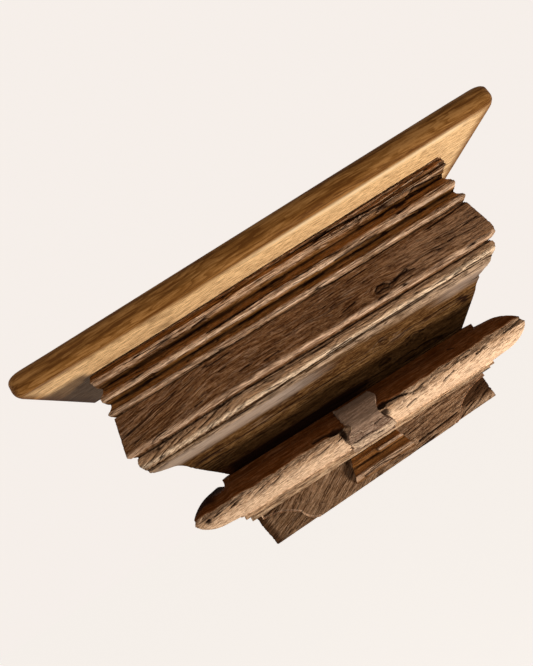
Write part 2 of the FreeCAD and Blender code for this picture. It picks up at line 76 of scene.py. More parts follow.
# Backdrop, floor and light, in metres and watts
BACKGROUND = (0.921, 0.863, 0.820)
FLOOR_LEVEL = -1.3
FLOOR_HALF = 12.0
FLOOR_GLOW = (0.604, 0.587, 0.570)
AMBIENT_COLOUR = (1.0, 0.95, 0.89)
AMBIENT_STRENGTH = 0.34
KEY_DIRECTION = Vector((0.42, -0.36, -0.84))
KEY_DISTANCE = 0.95
KEY_SIZE = 0.2
KEY_POWER = 8.6
KEY_COLOUR = (1.0, 0.95, 0.88)
FILL_DIRECTION = Vector((-0.5, -0.8, 0.5))
FILL_DISTANCE = 1.6
FILL_SIZE = 1.0
FILL_POWER = 3.0
FILL_COLOUR = (1.0, 0.96, 0.92)

# Grids of the timbers, in mm
COLUMN_STEP = 1.8
ROW_STEP = 0.55
BOARD_COLUMN_STEP = 4.0
BOARD_ROW_STEP = 1.6
APRON_STEP = 1.3
SMALL_ROW_STEP = 0.7
SMALL_COLUMN_STEP = 0.9
RETURN_STEP = 3.0
CORNER_STEPS = 7
SMALLEST_CORNER = 3.0
TOUCH = 0.02
PLACE_DIGITS = 3
BED_DEPTH = 3.0
SHARP_ANGLE = math.radians(50)

# Reach of a course's outline, as a share of its widest reach, under which places belong to dowel holes
LEAST_REACH_SHARE = 0.58
LEAST_REACH_SHARE_OF = {"cove_block": 0.43}

# Recesses in the backs
RECESS_CLEARANCE = 0.1
RECESS_OVERRUN = 2.0
HOLE_SIDES = 48

# Small twists of the timbers: at each level, how far it rises at each place along the shelf
TWIST_COLUMNS = (-250.0, -100.0, 0.0, 100.0, 250.0)
TWISTS = {
    -249.0: (-7.5, -3.0, 0.0, 3.0, 7.5),
    -213.0: (-2.0, -0.8, 0.0, 0.8, 2.0),
    -205.0: (2.2, 0.9, 0.0, -0.9, -2.2),
    -154.5: (1.0, 0.9, 0.0, 0.6, 0.8),
    -98.5: (-1.4, 0.0, 1.2, 1.2, -0.8),
    -80.5: (0.0, 1.9, 0.0, -0.9, -2.4),
    -22.0: (-1.8, -1.6, -1.5, -1.4, -1.2),
    -7.0: (-0.4, 0.2, 0.6, 1.4, 2.0),
    6.0: (-0.5, 0.4, 1.0, 1.6, 2.5),
    19.0: (1.0, 1.7, 2.0, 2.3, 3.0),
    32.0: (-4.5, -3.3, -1.6, -1.0, 0.8),
    62.0: (-7.0, -5.4, -4.4, -3.3, -2.0),
}

# The twist of the board's top fades out between these places, and nearer the wall the top is level
TOP_TWIST_FADE = (-188.0, -82.0)

# States of the colour, one attribute each, from wear and from painted shade and highlight, and the order of
# the marks, by the names of the methods of Skin
STATES = ("pale", "dark", "bleach_and_highlight", "deep_and_shade")
ORDER_OF_MARKS = ("stretch", "wander", "lean", "knot", "fibres", "ledges", "wear_edges", "blunt_ends", "mark",
              "cut", "clear", "erode", "streak", "crack", "pit", "checks")

# Repeatable noise, with a seed of its own for each timber
HASH_FACTORS = (73856093, 19349663, 83492791)
HASH_MIX = 1274126177
HASH_SHIFT = 13
HASH_BITS = 0xFFFFFF
SEED_STEP = 17
SEEDED_NODES = ("crown_block", "fascia_block", "bead_block", "cove_block", "torus_block", "upper_slat",
                "lower_slat", "base_block", "base_apron", "centre_strap", "centre_tongue", "shelf_board")
SEEDS = {node: seed for seed, node in enumerate(SEEDED_NODES, 1)}

# Sizes of the wear marks, in mm along x, y and z
FIBRE_SIZE = (34.0, 2.3, 2.3)
GROOVE_SIZE = (40.0, 3.4, 3.4)
EDGE_STREAK_SIZE = (28.0, 3.0, 3.0)
FULL_FIBRE_DEPTH = 0.8
FULL_LEDGE_DEPTH = 1.2
PATCH_SIZE = (60.0, 9.0, 7.0)
CRACK_RAG_SIZE = (7.0, 4.0, 1.5)
STREAK_RAG_SIZE = (12.0, 4.0, 2.0)
PIT_RAG_SIZE = (6.0, 6.0, 3.0)
KNOT_RAG_SIZE = (9.0, 9.0, 5.0)

# Tips and lips stand proud of the outline as it is when blurred over these widths, in mm. Each mark grows
# from the first to the second distance before or behind that blurred outline
TIP_WIDTH = 1.6
LIP_WIDTH = 4.5
PALE_LIP = (0.1, 0.85)
DEEP_BEHIND_LIP = (-0.05, 0.45)
DARK_BEHIND_TIP = (0.12, 0.5)

# A length too small to matter, and a place that no timber reaches
TINY = 1e-9
FAR = 1000.0


def hash_grid(cells, seed):
    """Repeatable random numbers from 0 to 1 for whole grid places."""
    mixed = np.full(len(cells), (seed + 1) * HASH_MIX, np.int64)
    for axis, factor in enumerate(HASH_FACTORS):
        mixed ^= cells[:, axis] * factor
    mixed = (mixed ^ (mixed >> HASH_SHIFT)) * HASH_MIX
    mixed ^= mixed >> HASH_SHIFT
    return (mixed & HASH_BITS) / HASH_BITS


def noise(places, size, seed):
    """Smooth noise from -1 to 1, with features of the given size along x, y and z."""
    scaled = places / np.asarray(size, float)
    cells = np.floor(scaled).astype(np.int64)
    part = scaled - cells
    part = part * part * (3 - 2 * part)
    total = np.zeros(len(places))
    for corner in itertools.product((0, 1), repeat=3):
        weight = np.prod(np.where(corner, part, 1 - part), axis=1)
        total += weight * hash_grid(cells + np.array(corner), seed)
    return total * 2 - 1


def layered_noise(places, size, seed, layers=3):
    """Noise with finer and weaker layers added."""
    size = np.asarray(size, float)
    total = np.zeros(len(places))
    reach = 0.0
    for layer in range(layers):
        share = 0.5 ** layer
        total += share * noise(places, size * share, seed + layer)
        reach += share
    return total / reach


def ease(values, low, high):
    """0 below low, 1 above high, smooth between."""
    part = np.clip((values - low) / (high - low), 0, 1)
    return part * part * (3 - 2 * part)


def bell(values, middle, width):
    """1 at the middle, falling smoothly to both sides."""
    return np.exp(-((values - middle) / width) ** 2)


def plateau(values, ramp):
    """0 up to the first level of the ramp, 1 from the second to the third, 0 from the fourth."""
    rise_from, rise_to, fall_from, fall_to = ramp
    return ease(values, rise_from, rise_to) * (1 - ease(values, fall_from, fall_to))


def up_to(full, none):
    """A ramp for a plateau that holds up to the first place and is gone at the second."""
    return -2 * FAR, -FAR, full, none


def beyond(none, full):
    """A ramp for a plateau that starts at the first place and holds from the second on."""
    return none, full, FAR, 2 * FAR


# What the frame gives
def mesh_places(mesh):
    """Places of a mesh's vertices, in mm."""
    places = np.zeros(len(mesh.vertices) * 3)
    mesh.vertices.foreach_get("co", places)
    return places.reshape(-1, 3) / MM


def node_places(node):
    return mesh_places(nodes[node].data)


def node_box(node):
    low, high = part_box(node)
    return np.array(low) / MM, np.array(high) / MM


# Where the mitres of every course meet the wall, to both sides of the middle
crown_low, crown_high = node_box("crown_block")
CORE_HALF = crown_high[0] + crown_low[1]


def chained(points):
    """Points of an outline, each once, from head to foot.

    Those on one level follow on from the point above."""
    points = np.unique(np.round(points, PLACE_DIGITS), axis=0)
    ordered = []
    for level in sorted(set(points[:, 1]), reverse=True):
        row = sorted(points[points[:, 1] == level].tolist())
        if ordered and abs(row[-1][0] - ordered[-1][0]) < abs(row[0][0] - ordered[-1][0]):
            row.reverse()
        ordered += row
    return np.array(ordered)


def mitre_outline(node):
    """Reach and level of a course's outline, read where its right mitre runs."""
    places = node_places(node)
    least_share = LEAST_REACH_SHARE_OF.get(node, LEAST_REACH_SHARE)
    outer = places[:, 1] < places[:, 1].min() * least_share
    on_mitre = np.abs(places[:, 0] - CORE_HALF + places[:, 1]) < TOUCH
    return chained(np.column_stack([-places[:, 1], places[:, 2]])[outer & on_mitre])


def resampled(points, step):
    """The same outline in even steps."""
    runs = np.hypot(*np.diff(points, axis=0).T)
    reached = np.concatenate(([0], np.cumsum(runs)))
    wanted = np.linspace(0, reached[-1], max(int(reached[-1] / step), 2) + 1)
    return np.column_stack([np.interp(wanted, reached, points[:, axis]) for axis in (0, 1)])


def blurred(rows, spread):
    """The outline after a Gaussian blur, with the spread counted in rows."""
    reach = min(int(3 * spread), len(rows) - 1)
    kernel = np.exp(-0.5 * (np.arange(-reach, reach + 1) / spread) ** 2)
    padded = np.pad(rows, ((reach, reach), (0, 0)), mode="reflect", reflect_type="odd")
    return np.column_stack([np.convolve(padded[:, axis], kernel / kernel.sum(), "valid") for axis in (0, 1)])


def outward(rows):
    """Directions out of the outline, one for each row."""
    along = np.gradient(rows, axis=0)
    across = np.column_stack([-along[:, 1], along[:, 0]])
    return across / np.linalg.norm(across, axis=1)[:, None]


def exposures(rows):
    """How far each row stands proud of the blurred outline, in mm: as a tip, and as a lip."""
    out = outward(rows)
    widths = (TIP_WIDTH, LIP_WIDTH)
    return [np.sum((rows - blurred(rows, width / ROW_STEP)) * out, axis=1) for width in widths]


def wrap_grid(rows, core_half, corners, column_step):
    """Places of an outline run along the front and returned round both ends, rows by columns.

    The corners are the radii of the left and the right one, each for all rows or one for each row."""
    reach = rows[:, :1]
    left, right = (np.minimum(np.reshape(corner, (-1, 1)), reach - SMALLEST_CORNER) for corner in corners)
    widest = reach.max()
    side = np.linspace(0, 1, max(int(widest / RETURN_STEP), 2))[None, :]
    turn = np.linspace(0, math.pi / 2, CORNER_STEPS)[None, 1:]
    front = np.linspace(0, 1, int(2 * (core_half + widest) / column_step))[None, 1:]
    left_end = core_half + reach - left
    right_end = core_half + reach - right
    x_parts = [
        -(core_half + reach) + 0 * side,
        -left_end - left * np.cos(turn),
        -left_end + front * (left_end + right_end),
        right_end + right * np.sin(turn),
        (core_half + reach) + 0 * side[:, 1:],
    ]
    y_parts = [
        (left - reach) * side,
        (left - reach) - left * np.sin(turn),
        -reach + 0 * front,
        (right - reach) - right * np.cos(turn),
        (right - reach) * side[:, ::-1][:, 1:],
    ]
    x = np.hstack(x_parts)
    y = np.hstack(y_parts)
    z = np.repeat(rows[:, 1:], x.shape[1], axis=1)
    return np.stack([x, y, z], axis=2)


def twisted(places):
    """Places after the timbers' small twists."""
    levels = list(TWISTS)
    rises = np.array(list(TWISTS.values()))
    moved = places.copy()
    for column, unit in enumerate(np.eye(len(TWIST_COLUMNS))):
        weight = np.interp(places[:, 0], TWIST_COLUMNS, unit)
        moved[:, 2] += weight * np.interp(places[:, 2], levels, rises[:, column])
    back = ease(places[:, 1], *TOP_TWIST_FADE) * ease(places[:, 2], levels[-2], levels[-1])
    moved[:, 2] += back * (places[:, 2] - moved[:, 2])
    return moved


class Skin:
    """The grid of a timber's outer face, with how deep each place is worn and its colour states, from wear
    and from painted shade and highlight.

    Numbers in its methods are shares, and thresholds of the noise, which runs from -1 to 1."""

    def __init__(self, grid, seed, tip=None, lip=None):
        self.shape = grid.shape[:2]
        self.places = grid.reshape(-1, 3)
        self.seed = seed
        down = np.gradient(grid, axis=0)
        right = np.gradient(grid, axis=1)
        out = np.cross(down, right).reshape(-1, 3)
        self.out = out / np.maximum(np.linalg.norm(out, axis=1), TINY)[:, None]
        self.tip = self.spread_rows(tip)
        self.lip = self.spread_rows(lip)
        self.depth = np.zeros(len(self.places))
        self.states = {key: np.zeros(len(self.places)) for key in STATES}
        self.grain = self.places.copy()
        self.seen = twisted(self.places)
        self.x, self.y, self.z = self.seen.T

    def spread_rows(self, values):
        if values is None:
            return np.zeros(len(self.places))
        return np.repeat(values, self.shape[1])

    def next_seed(self):
        self.seed += SEED_STEP
        return self.seed

    def within(self, where):
        """How far each place counts, from 0 to 1. Where is a zone or the shares themselves.

        A zone names some of the axes, each with the ramp of a plateau along it."""
        if not isinstance(where, dict):
            return where
        share = np.ones(len(self.places))
        for axis, ramp in where.items():
            share *= plateau(getattr(self, axis), ramp)
        return share

    def cut(self, amount, where=1.0):
        self.depth += np.maximum(amount * self.within(where), 0)

    def mark(self, state, share, where=1.0):
        """Bring a state up to a share, and leave it where it is stronger already."""
        self.states[state] = np.maximum(self.states[state], share * self.within(where))

    def add(self, state, share):
        self.states[state] = np.clip(self.states[state] + share, 0, 1)

    def clear(self, state, share, where):
        """Take a share of a state away."""
        self.states[state] *= 1 - share * self.within(where)

    def noise(self, size, layers=3):
        return layered_noise(self.grain, size, self.next_seed(), layers)

    def rag(self, size):
        return layered_noise(self.places, size, self.next_seed(), 2)

    def stretch(self, length, where):
        """Move places along the shelf."""
        self.places[:, 0] += length * self.within(where)

    def lean(self, slope, middle, where):
        """Let the grain rise to the right by the slope, about a place along the shelf."""
        self.grain[:, 2] -= slope * (self.places[:, 0] - middle) * self.within(where)

    def wander(self, height, size):
        """Let the grain wave up and down."""
        self.grain[:, 2] += height * self.rag(size)

    def fibres(self, depth, size, where):
        """Raised pale fibres with thin dark grooves between them."""
        where = self.within(where)
        ridge = self.noise(size)
        groove = bell(self.noise(GROOVE_SIZE), 0, 0.1) * ease(self.noise(PATCH_SIZE), -0.1, 0.3)
        shown = min(depth / FULL_FIBRE_DEPTH, 1) * where
        self.cut(depth * (0.5 - 0.6 * ridge + 0.7 * groove) * where)
        self.add("dark", (0.35 * ease(-ridge, 0.25, 0.6) + 0.75 * groove) * shown)
        self.add("pale", 0.35 * ease(ridge, 0.15, 0.5) * shown)

    def ledges(self, depth, size, count, where):
        """Split layers: each ends in a sharp step along the grain, pale on its edge and dark under it."""
        where = self.within(where)
        levels = count * self.noise(size, 2)
        part = levels - np.floor(levels)
        shown = min(depth / FULL_LEDGE_DEPTH, 1) * where
        self.cut(depth * part * where)
        self.add("dark", 0.8 * ease(part, 0.82, 1.0) * shown)
        self.add("pale", 0.5 * ease(1 - part, 0.72, 1.0) * shown)

    def erode(self, depth, size, where):
        """Soft hollows where the noise is high."""
        self.cut(depth * ease(self.noise(size), 0.0, 0.6), where)

    def wear_edges(self, keen, paleness):
        """Round off what stands proud, more in some places, and leave it pale, worn and partly painted
        highlight. Hollows stay dark.
        """
        patchy = 0.55 + 0.6 * self.noise(PATCH_SIZE)
        streaky = np.clip(0.75 + 1.1 * self.noise(EDGE_STREAK_SIZE), 0, 1)
        self.cut(np.maximum(self.tip, 0) * 0.9 + np.maximum(self.lip, 0) * np.clip(keen * patchy, 0, 1.2))
        pale = ease(self.lip, *PALE_LIP) * np.clip(0.5 + 0.6 * patchy, 0, 1) * streaky
        self.mark("pale", pale * paleness)
        self.mark("deep_and_shade", 0.9 * ease(-self.lip, *DEEP_BEHIND_LIP))
        self.add("dark", 0.8 * ease(-self.tip, *DARK_BEHIND_TIP))

    def blunt_ends(self, keen, start, end):
        """Wear down what stands proud near both ends."""
        self.cut(keen * np.maximum(self.lip, 0) * ease(np.abs(self.x), start, end))

    def checks(self, depth, size, where):
        """Drying cracks: thin lines along the grain."""
        field = self.noise(size, 2)
        gate = ease(self.noise(size, 2), 0.05, 0.35)
        line = bell(field, 0, 0.07) * gate * self.within(where)
        self.cut(depth * line)
        self.add("dark", 0.95 * line)

    def from_line(self, points):
        """Distance of each place from a line through points of the front, in mm."""
        nearest = np.full(len(self.places), np.inf)
        here = np.column_stack([self.x, self.z])
        for start, end in zip(np.array(points[:-1], float), np.array(points[1:], float)):
            run = end - start
            share = np.clip(((here - start) @ run) / (run @ run), 0, 1)
            nearest = np.minimum(nearest, np.linalg.norm(here - start - share[:, None] * run, axis=1))
        return nearest

    def crack(self, width, depth, *points):
        """One crack along a line of points, ragged at its sides."""
        ragged = 1 + 0.7 * self.rag(CRACK_RAG_SIZE)
        line = bell(self.from_line(points), 0, width * ragged)
        self.cut(depth * line)
        self.mark("dark", line)

    def streak(self, state, share, width, *points):
        """A line in one state, ragged at its sides."""
        ragged = 1 + 0.6 * self.rag(STREAK_RAG_SIZE)
        self.mark(state, share * bell(self.from_line(points), 0, width * ragged))

    def pit(self, x, z, half_width, half_height, depth):
        """A broken-out hollow, dark inside."""
        ragged = 1 + 0.35 * self.rag(PIT_RAG_SIZE)
        away = np.hypot((self.x - x) / half_width, (self.z - z) / half_height) * ragged
        inside = 1 - ease(away, 0.6, 1.15)
        self.cut(depth * inside)
        self.mark("dark", 0.95 * inside)

    def knot(self, x, z, half_width, half_height, strength):
        """A knot: the grain parts round it, and its heart is sunk, split and dark."""
        ragged = 1 + 0.25 * self.rag(KNOT_RAG_SIZE)
        away = np.hypot((self.x - x) / half_width, (self.z - z) / half_height) * ragged
        side = np.where(self.z > z, 1, -1)
        self.grain[:, 2] -= side * half_height * 0.9 * np.exp(-away ** 2 / 2.2)
        self.grain[:, 1] += half_height * np.exp(-away ** 2)
        splits = ease(self.rag(CRACK_RAG_SIZE), 0.05, 0.4) * bell(away, 0, 1.1)
        self.cut((0.5 * bell(away, 0, 0.6) + 1.4 * splits) * strength)
        self.mark("dark", (0.25 * bell(away, 0, 0.7) + 0.85 * splits) * strength)

    def weather(self, look):
        """All the marks of a table, from wear and painted shade and light, which lists rows of values for the
        methods, in the order of the marks.
        """
        for kind in ORDER_OF_MARKS:
            for values in look.get(kind, ()):
                getattr(self, kind)(*values)

    def moved(self):
        """Places after the wear. The first and last rows keep their level, the ends stay on the wall."""
        step = (self.out * self.depth[:, None]).reshape(*self.shape, 3)
        step[0, :, 2] = 0
        step[-1, :, 2] = 0
        step[:, 0, 1] = 0
        step[:, -1, 1] = 0
        return self.places - step.reshape(-1, 3)


# Mesh pieces
def linked(name, data):
    """A new object in the scene."""
    made = bpy.data.objects.new(name, data)
    bpy.context.scene.collection.objects.link(made)
    return made


def mesh_object(name, places, faces):
    mesh = bpy.data.meshes.new(name)
    mesh.from_pydata((places * MM).tolist(), [], faces)
    mesh.validate()
    return linked(name, mesh)


def set_attributes(piece, grain, states):
    grain_layer = piece.data.attributes.new("grain", "FLOAT_VECTOR", "POINT")
    grain_layer.data.foreach_set("vector", grain.astype(np.float32).ravel())
    for key, values in states.items():
        layer = piece.data.attributes.new(key, "FLOAT", "POINT")
        layer.data.foreach_set("value", np.clip(values, 0, 1).astype(np.float32))


def grid_index(shape):
    return np.arange(math.prod(shape)).reshape(shape)


def grid_faces(index):
    """Quads of a grid, facing out of the wall where columns run to the right and rows run down."""
    corners = (index[:-1, :-1], index[1:, :-1], index[1:, 1:], index[:-1, 1:])
    return np.stack(corners, axis=-1).reshape(-1, 4).tolist()


def wrap_piece(name, skin):
    """A timber closed at its head, foot and back."""
    index = grid_index(skin.shape)
    faces = grid_faces(index)
    faces.append(index[0, :].tolist())
    faces.append(index[-1, ::-1].tolist())
    faces.append(index[:, -1].tolist() + index[::-1, 0].tolist())
    piece = mesh_object(name, twisted(skin.moved()), faces)
    set_attributes(piece, skin.grain, skin.states)
    return piece


def shell_piece(name, skin, back):
    """A thin timber from its worn front grid and the places behind it."""
    index = grid_index(skin.shape)
    count = index.size
    back = back.reshape(-1, 3)
    rim = np.concatenate([index[0, :-1], index[:-1, -1], index[-1, :0:-1], index[:0:-1, 0]])
    after = np.roll(rim, -1)
    faces = grid_faces(index)
    faces += [[corner + count for corner in reversed(face)] for face in faces]
    faces += np.stack([rim, after, after + count, rim + count], axis=1).tolist()
    piece = mesh_object(name, twisted(np.vstack([skin.moved(), back])), faces)
    states = {key: np.concatenate([state, np.zeros(count)]) for key, state in skin.states.items()}
    set_attributes(piece, np.vstack([skin.grain, back]), states)
    return piece


def box_piece(low, high):
    corners = np.array(list(itertools.product(*zip(low, high))))
    faces = [(0, 1, 3, 2), (4, 6, 7, 5), (0, 4, 5, 1), (2, 3, 7, 6), (0, 2, 6, 4), (1, 5, 7, 3)]
    return mesh_object("cutter", corners, faces)


def rod_piece(start, end, radius, across, up):
    """A round cutter from start to end, round the two given directions."""
    angles = np.linspace(0, 2 * math.pi, HOLE_SIDES, endpoint=False)
    ring = radius * (np.outer(np.cos(angles), across) + np.outer(np.sin(angles), up))
    places = np.vstack([ring + start, ring + end])
    after = np.roll(np.arange(HOLE_SIDES), -1)
    faces = [[i, after[i], after[i] + HOLE_SIDES, i + HOLE_SIDES] for i in range(HOLE_SIDES)]
    faces += [list(range(HOLE_SIDES))[::-1], list(range(HOLE_SIDES, 2 * HOLE_SIDES))]
    return mesh_object("cutter", places, faces)


def carve(piece, cutters):
    """Cut the cutters out of the piece, and keep its attributes at the places that stay."""
    source = piece.data
    count = len(source.vertices)
    kept = {key: np.zeros(count) for key in STATES}
    for key, values in kept.items():
        source.attributes[key].data.foreach_get("value", values)
    grain = np.zeros(count * 3)
    source.attributes["grain"].data.foreach_get("vector", grain)
    grain = grain.reshape(-1, 3)
    tree = KDTree(count)
    for index, vertex in enumerate(source.vertices):
        tree.insert(vertex.co, index)
    tree.balance()
    for cutter in cutters:
        modifier = piece.modifiers.new("recess", "BOOLEAN")
        modifier.operation = "DIFFERENCE"
        modifier.solver = "MANIFOLD"
        modifier.object = cutter
    bpy.context.view_layer.update()
    result = bpy.data.meshes.new_from_object(piece.evaluated_get(bpy.context.evaluated_depsgraph_get()))
    piece.modifiers.clear()
    result.name = source.name
    for key in STATES + ("grain",):
        result.attributes.remove(result.attributes[key])
    piece.data = result
    new_grain = mesh_places(result)
    states = {key: np.zeros(len(result.vertices)) for key in STATES}
    for index, vertex in enumerate(result.vertices):
        _, found, distance = tree.find(vertex.co)
        if distance < TOUCH * MM:
            new_grain[index] = grain[found]
            for key in STATES:
                states[key][index] = kept[key][found]
    set_attributes(piece, new_grain, states)
    for cutter in cutters:
        bpy.data.objects.remove(cutter)


def plate_cutters(low, high):
    """Cutters for the tie plates where they cross the levels from low to high."""
    cutters = []
    for node in ("tie_plate_left", "tie_plate_right"):
        plate_low, plate_high = node_box(node)
        foot = max(plate_low[2] - RECESS_CLEARANCE, low - RECESS_OVERRUN)
        head = min(plate_high[2] + RECESS_CLEARANCE, high + RECESS_OVERRUN)
        if head > foot:
            cutters.append(box_piece(
                (plate_low[0] - RECESS_CLEARANCE, plate_low[1] - RECESS_CLEARANCE, foot),
                (plate_high[0] + RECESS_CLEARANCE, RECESS_OVERRUN, head)))
    return cutters


# Materials
class Shades:
    """A material's node tree, built up one node at a time."""

    def __init__(self, name):
        self.material = bpy.data.materials.new(name)
        self.material.use_nodes = True
        self.tree = self.material.node_tree
        self.shader = self.tree.nodes["Principled BSDF"]
        self.open_side = 1.0

    def feed(self, socket, value):
        if isinstance(value, bpy.types.NodeSocket):
            self.tree.links.new(value, socket)
        else:
            socket.default_value = value

    def node(self, kind, inputs, output=0, **settings):
        made = self.tree.nodes.new("ShaderNode" + kind)
        for key, value in settings.items():
            setattr(made, key, value)
        for key, value in inputs.items():
            self.feed(made.inputs[key], value)
        return made.outputs[output]

    def attribute(self, name, output="Fac"):
        return self.node("Attribute", {}, output, attribute_name=name)

    def state(self, name):
        """A colour state, from wear and from painted shade and highlight, left out on the sawn back."""
        return self.times(self.attribute(name), self.open_side)

    def math(self, operation, first, second=0.0):
        return self.node("Math", {0: first, 1: second}, operation=operation)

    def times(self, first, second):
        return self.math("MULTIPLY", first, second)

    def parts(self, vector):
        """The three parts of a vector."""
        made = self.tree.nodes.new("ShaderNodeSeparateXYZ")
        self.feed(made.inputs[0], vector)
        return made.outputs

    def scaled(self, vector, size):
        return self.node("VectorMath", {0: vector, 1: tuple(1 / part for part in size)}, operation="MULTIPLY")

    def grain_noise(self, vector, size, detail, roughness):
        return self.node("TexNoise", {"Vector": self.scaled(vector, size), "Scale": 1.0, "Detail": detail,
                                      "Roughness": roughness})

    def ranged(self, value, low, high, to_low=0.0, to_high=1.0):
        return self.node("MapRange", {"Value": value, "From Min": low, "From Max": high,
                                      "To Min": to_low, "To Max": to_high}, interpolation_type="SMOOTHSTEP")

    def mixed(self, factor, first, second):
        return self.node("Mix", {0: factor, 6: first, 7: second}, 2, data_type="RGBA")

    def added(self, *values):
        total = values[0]
        for value in values[1:]:
            total = self.math("ADD", total, value)
        return total

    def set(self, **values):
        for key, value in values.items():
            self.feed(self.shader.inputs[key.replace("_", " ")], value)


# Patterns of the wood: size in mm along the grain, into it and across it, then detail and roughness
WOBBLE = ((130.0, 22.0, 22.0), 3.0, 0.55)
STREAK = ((75.0, 6.0, 6.0), 4.0, 0.55)
STRAND = ((26.0, 2.1, 2.1), 3.0, 0.6)
THREAD = ((13.0, 1.3, 1.3), 2.0, 0.6)
GRIT = ((3.4, 1.4, 1.4), 2.0, 0.6)
DASH = ((16.0, 1.5, 1.5), 1.0, 0.55)
WOBBLE_RINGS = 9

# Linear colours of cracks and of bleached wood, how much lighter the light grain of a deep place is, and how
# squarely a sawn back faces the wall
CRACK = (0.016, 0.006, 0.003)
BLEACHED = (0.30, 0.25, 0.22)
DEEP_LIGHTER = 1.7
FACES_WALL = 0.98

# What a timber is like where its own row says nothing: pith, ring and bump are in mm
OLD_WOOD = {"on_cad": False, "pith": (-60.0, -40.0), "ring": 3.2, "ring_share": 0.2, "roughness": 0.9,
            "bump": 1.1, "gloss": 0.02, "fine": 1.0, "broad": 0.2}

# Steel: scales of its clouds and scratches, how a scratch runs and how deep it is
CLOUD_SCALE = 260.0
SCRATCH_SCALE = 2400.0
SCRATCH_RUN = (1.0, 1.0, 0.05)
SCRATCH_DEPTH = 0.03 * MM
STEEL_SHADE = 0.72


def solid(colour):
    return (*colour, 1.0)


def grain_places(shades, on_cad):
    """Where a place lies in the timber, in mm."""
    if on_cad:
        return shades.scaled(shades.node("TexCoord", {}, "Object"), (MM, MM, MM))
    return shades.attribute("grain", "Vector")


def open_side(shades):
    """0 on faces that look into the wall, 1 on the others."""
    normal = shades.node("NewGeometry", {}, "True Normal")
    return shades.math("LESS_THAN", shades.parts(normal)[1], FACES_WALL)


def late_wood(shades, grain, pith, ring):
    """The dark part of each ring round a pith that runs along the grain."""
    parts = shades.parts(grain)
    wobble = shades.grain_noise(grain, *WOBBLE)
    across_y = shades.math("SUBTRACT", parts[1], pith[0])
    across_z = shades.math("SUBTRACT", parts[2], pith[1])
    squares = shades.added(shades.times(across_y, across_y), shades.times(across_z, across_z))
    from_pith = shades.added(shades.math("SQRT", squares), shades.times(wobble, WOBBLE_RINGS * ring))
    phase = shades.math("FRACT", shades.math("DIVIDE", from_pith, ring))
    return shades.times(shades.ranged(phase, 0.35, 0.9), shades.ranged(phase, 1.0, 0.93))


def wood(name, changes, dark, mid, light, pale, deep_and_shade, bleach_and_highlight=BLEACHED):
    """Wood with rings, strands, grit and dashes along its grain, and its colour states, from wear and from
    painted shade and highlight.
    """
    look = OLD_WOOD | changes
    shades = Shades(name)
    shades.open_side = open_side(shades)
    grain = grain_places(shades, look["on_cad"])
    late = late_wood(shades, grain, look["pith"], look["ring"])
    streak, strand, thread, grit, dash = (
        shades.grain_noise(grain, *pattern) for pattern in (STREAK, STRAND, THREAD, GRIT, DASH))
    dashes = shades.ranged(dash, 0.64, 0.72, 0.0, look["fine"])
    tone = shades.added(
        shades.ranged(streak, 0.3, 0.7, 0.0, look["broad"]),
        shades.ranged(strand, 0.36, 0.64, 0.0, 0.30),
        shades.ranged(thread, 0.38, 0.62, 0.0, 0.28 * look["fine"]),
        shades.ranged(grit, 0.38, 0.62, 0.0, 0.22 * look["fine"]),
        shades.times(late, -look["ring_share"]))
    colour = shades.mixed(shades.ranged(tone, 0.1, 0.5), solid(dark), solid(mid))
    colour = shades.mixed(shades.ranged(tone, 0.45, 0.9), colour, solid(light))
    colour = shades.mixed(shades.times(dashes, 0.55), colour, solid(CRACK))
    # Bleached grey wood, and on the board a painted highlight
    bleach_and_highlight_share = shades.times(shades.state("bleach_and_highlight"), shades.ranged(strand, 0.25, 0.6, 0.5, 1.0))
    colour = shades.mixed(bleach_and_highlight_share, colour, solid(bleach_and_highlight))
    worn = shades.times(shades.state("pale"), shades.ranged(thread, 0.38, 0.58, 0.35, 1.0))
    colour = shades.mixed(worn, colour, solid(pale))
    # The deep colour: in hollows and stains, and as painted shade and painted bounce light
    deep_light = tuple(DEEP_LIGHTER * part for part in deep_and_shade)
    deep_and_shade_colour = shades.mixed(shades.ranged(tone, 0.2, 0.85), solid(deep_and_shade), solid(deep_light))
    deep_and_shade_share = shades.times(shades.state("deep_and_shade"), shades.ranged(strand, 0.3, 0.7, 1.0, 0.85))
    colour = shades.mixed(deep_and_shade_share, colour, deep_and_shade_colour)
    colour = shades.mixed(shades.state("dark"), colour, solid(CRACK))
    height = shades.added(
        shades.times(strand, 0.8),
        shades.times(thread, 0.9),
        shades.times(grit, 0.9),
        shades.times(dashes, -0.6),
        shades.times(late, -0.15))
    calm = shades.ranged(shades.attribute("deep_and_shade"), 0.0, 1.0, 1.0, 0.4)
    normal = shades.node("Bump", {"Height": shades.times(height, calm), "Strength": 1.0,
                                  "Distance": look["bump"] * MM})
    rough = shades.ranged(thread, 0.3, 0.7, look["roughness"] + 0.06, look["roughness"] - 0.06)
    shades.set(Base_Color=colour, Normal=normal, Roughness=rough, Specular_IOR_Level=look["gloss"])
    return shades.material


def dull_steel(name, colour):
    """Zinc-plated steel with cloudy patches and fine scratches."""
    shades = Shades(name)
    place = shades.node("TexCoord", {}, "Object")
    clouds = shades.node("TexNoise", {"Vector": place, "Scale": CLOUD_SCALE, "Detail": 5.0})
    scratches = shades.node("TexNoise", {"Vector": shades.scaled(place, SCRATCH_RUN), "Scale": SCRATCH_SCALE})
    darker = tuple(part * STEEL_SHADE for part in colour)
    tint = shades.mixed(shades.ranged(clouds, 0.35, 0.65), solid(darker), solid(colour))
    normal = shades.node("Bump", {"Height": scratches, "Strength": 0.4, "Distance": SCRATCH_DEPTH})
    rough = shades.ranged(clouds, 0.3, 0.7, 0.38, 0.55)
    shades.set(Base_Color=tint, Normal=normal, Metallic=1.0, Roughness=rough)
    return shades.material
